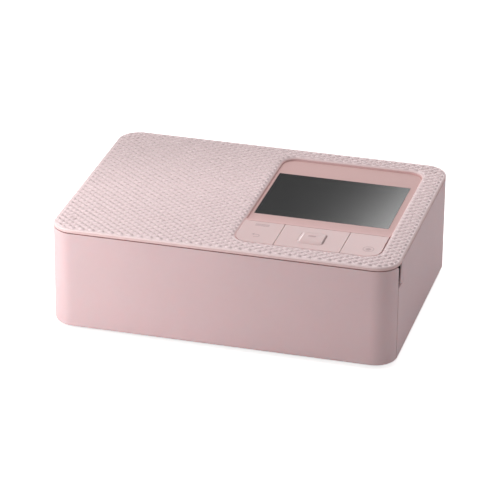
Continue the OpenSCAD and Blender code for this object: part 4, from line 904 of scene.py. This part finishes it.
# %% A stack of outlines
def outline(x0, x1, y0, y1, r, z, steps=8):
    """Points round a rectangle with round corners."""
    made = []
    for cx, cy, start in ((x1 - r, y1 - r, 0), (x0 + r, y1 - r, 90), (x0 + r, y0 + r, 180),
                          (x1 - r, y0 + r, 270)):
        for k in range(steps + 1):
            a = math.radians(start + 90 * k / steps)
            made.append((cx + r * math.cos(a), cy + r * math.sin(a), z))
    return made


def stack(name, levels, finish, body):
    """A closed piece from outlines one above the other: four sides, corner radius, height."""
    points = []
    faces = []
    for level in levels:
        points += outline(*level)
    n = len(points) // len(levels)
    for level in range(len(levels) - 1):
        a = level * n
        for k in range(n):
            after = (k + 1) % n
            faces.append((a + k, a + after, a + n + after, a + n + k))
    faces.append(tuple(reversed(range(n))))
    faces.append(tuple(range(len(points) - n, len(points))))
    return piece(name, points, faces, finish, body)


print("points in an outline:", len(outline(0, 1, 0, 1, 0.1, 0)))

# %% Sloped button
button_low, button_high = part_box("ok_button")
button_cy = (button_low[1] + button_high[1]) / 2
button_top = button_high[2]
key_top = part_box("nav_key")[1][2]
GROWN = 0.28 * MM
SIDE_ROUND = 2.6 * MM
SHOULDER = 0.06 * MM
SHOULDER_ROUND = 2.5 * MM
SLOPE = 1.9 * MM
STEEPER = 0.5
RUN_OUT = 3
x0, x1 = button_low[0] - GROWN, button_high[0] + GROWN
y0, y1 = button_low[1] - GROWN, button_high[1] + GROWN
levels = [(x0, x1, y0, y1, SIDE_ROUND, button_low[2] + 2 * MM),
          (x0, x1, y0, y1, SIDE_ROUND, key_top - 0.1 * MM),
          (x0 + SHOULDER, x1 - SHOULDER, y0 + SHOULDER, y1 - SHOULDER, SHOULDER_ROUND, key_top)]
# The crown, as steps in from the sides and ends, corner radius and drop from the top, all in mm.
for across, along, r, drop in ((SLOPE / MM, 0.5, 1.6, 0.02), (SLOPE / MM + 0.3, 0.9, 1.4, 0),
                               (3, 2, 1.2, 0.02), (4.8, 4.6, 0.7, 0.04)):
    levels.append((x0 + across * MM, x1 - across * STEEPER * MM, y0 + along * MM,
                   y1 - along * MM, r * MM, button_top - drop * MM))
button_face = stack("middle_button", levels, finishes["key_pink"], "centre_button")
half_deep = (y1 - y0) / 2
for point in button_face.data.vertices:
    if point.co.z > key_top:
        near_end = abs(point.co.y - button_cy) / half_deep
        point.co.z = key_top + (point.co.z - key_top) * (1 - near_end ** RUN_OUT)
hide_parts("ok_button")
print("middle button stands proud by mm:", round((button_top - key_top) / MM, 2))

# %% Polish its left slope, paint shade on its right one
SHOULDER_LEVEL = 2
MOSTLY_SIDEWAYS = 0.7
NEVER_ZERO = 1e-9
per_level = len(button_face.data.vertices) // len(levels)
shoulder = range(SHOULDER_LEVEL * per_level, (SHOULDER_LEVEL + 1) * per_level)
button_face.data.materials.append(polished_pink)
button_face.data.materials.append(painted_shade_pink)
for face in button_face.data.polygons:
    across, along = face.normal.x, face.normal.y
    sideways = across / (abs(across) + abs(along) + NEVER_ZERO)
    if face.vertices[0] in shoulder and face.vertices[2] not in shoulder:
        if sideways < -MOSTLY_SIDEWAYS:
            face.material_index = 1
        elif sideways > MOSTLY_SIDEWAYS:
            face.material_index = 2
print("faces of the slopes:", sum(f.material_index > 0 for f in button_face.data.polygons))

# %% [markdown]
# ## Printed marks
# The keys carry small printed signs in a warm grey. Printing is a film a few hundredths of a
# millimetre thick, so each sign is a thin raised shape on its key and moves with it. Only signs
# that every maker uses are drawn: three bars for a menu, a bent arrow for back, a bar in the
# middle, and a ring with a printer in it for print.

# %% Ink for the signs
INK_HIGH = 0.03 * MM
INK_FOOT = 0.02 * MM


def ink_finish():
    """A film of ink, a little uneven in its colour."""
    made = Finish("key_ink", tone(196, 164, 166), 0.5)
    made.bump(made.noise(0.08, 2.0), 0.002)
    made.blotch(0.6, 0.2, tone(206, 178, 178))
    return made.done()


key_ink = ink_finish()
print("ink stands proud by mm:", INK_HIGH / MM)


# %% Helpers that print shapes
def printed(name, shapes, node, body):
    """Flat outlines, each a list of (x, y) in mm, raised by the thickness of a film of ink."""
    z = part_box(node)[1][2]
    points = []
    faces = []
    for shape in shapes:
        first = len(points)
        n = len(shape)
        points += [(x * MM, y * MM, z - INK_FOOT) for x, y in shape]
        points += [(x * MM, y * MM, z + INK_HIGH) for x, y in shape]
        faces.append(tuple(range(first + n, first + 2 * n)))
        faces += [(first + k, first + (k + 1) % n, first + n + (k + 1) % n, first + n + k)
                  for k in range(n)]
    made = piece(name, points, faces, key_ink, body, smooth=False)
    return made


def bar(cx, cy, w, h):
    """A rectangle about a middle, all in mm."""
    return [(cx - w / 2, cy - h / 2), (cx + w / 2, cy - h / 2), (cx + w / 2, cy + h / 2),
            (cx - w / 2, cy + h / 2)]


def arc(cx, cy, r, wide, start, end, steps=28):
    """Pieces of a ring, as four-sided shapes, so that the ring can stay open in the middle."""
    made = []
    for k in range(steps):
        a = math.radians(start + (end - start) * k / steps)
        b = math.radians(start + (end - start) * (k + 1) / steps)
        made.append([(cx + (r + wide) * math.cos(a), cy + (r + wide) * math.sin(a)),
                     (cx + (r + wide) * math.cos(b), cy + (r + wide) * math.sin(b)),
                     (cx + r * math.cos(b), cy + r * math.sin(b)),
                     (cx + r * math.cos(a), cy + r * math.sin(a))])
    return made


print("shapes in a full ring:", len(arc(0, 0, 1, 1, 0, 360)))

# %% Signs on the keys
STROKE = 0.4
MENU_X, MENU_Y, MENU_STEP = 13.65, -33.0, 0.95
PRINT_X = 72.3
SIGN_SINKS = 0.06 * MM
menu_sign = [bar(MENU_X, MENU_Y + k * MENU_STEP, 7.4, STROKE) for k in (-1, 0, 1)]
back_sign = arc(13.9, -45.9, 1.2, STROKE, -90, 90, 14) + [
    bar(12.9, -44.5, 2.0, STROKE), bar(13.2, -47.3, 1.4, STROKE),
    [(11.0, -44.5), (12.3, -45.6), (12.3, -43.4)]]
print_sign = arc(PRINT_X, -45.7, 2.6, 0.32, 0, 360, 40) + [
    bar(PRINT_X, -45.9, 2.9, 1.1), bar(PRINT_X, -44.75, 1.7, 0.5), bar(PRINT_X, -47.0, 1.7, 0.5)]
printed("menu_sign", menu_sign + back_sign, "menu_key", "menu_rocker")
printed("print_sign", print_sign, "print_key", "print_button")
button_sign = printed("middle_sign", [bar(41.6, -40.2, 4.0, 1.4)], "ok_button", "centre_button")
button_sign.location.z = -SIGN_SINKS
print("signs:", len(menu_sign), "bars,", len(back_sign), "and", len(print_sign), "shapes")
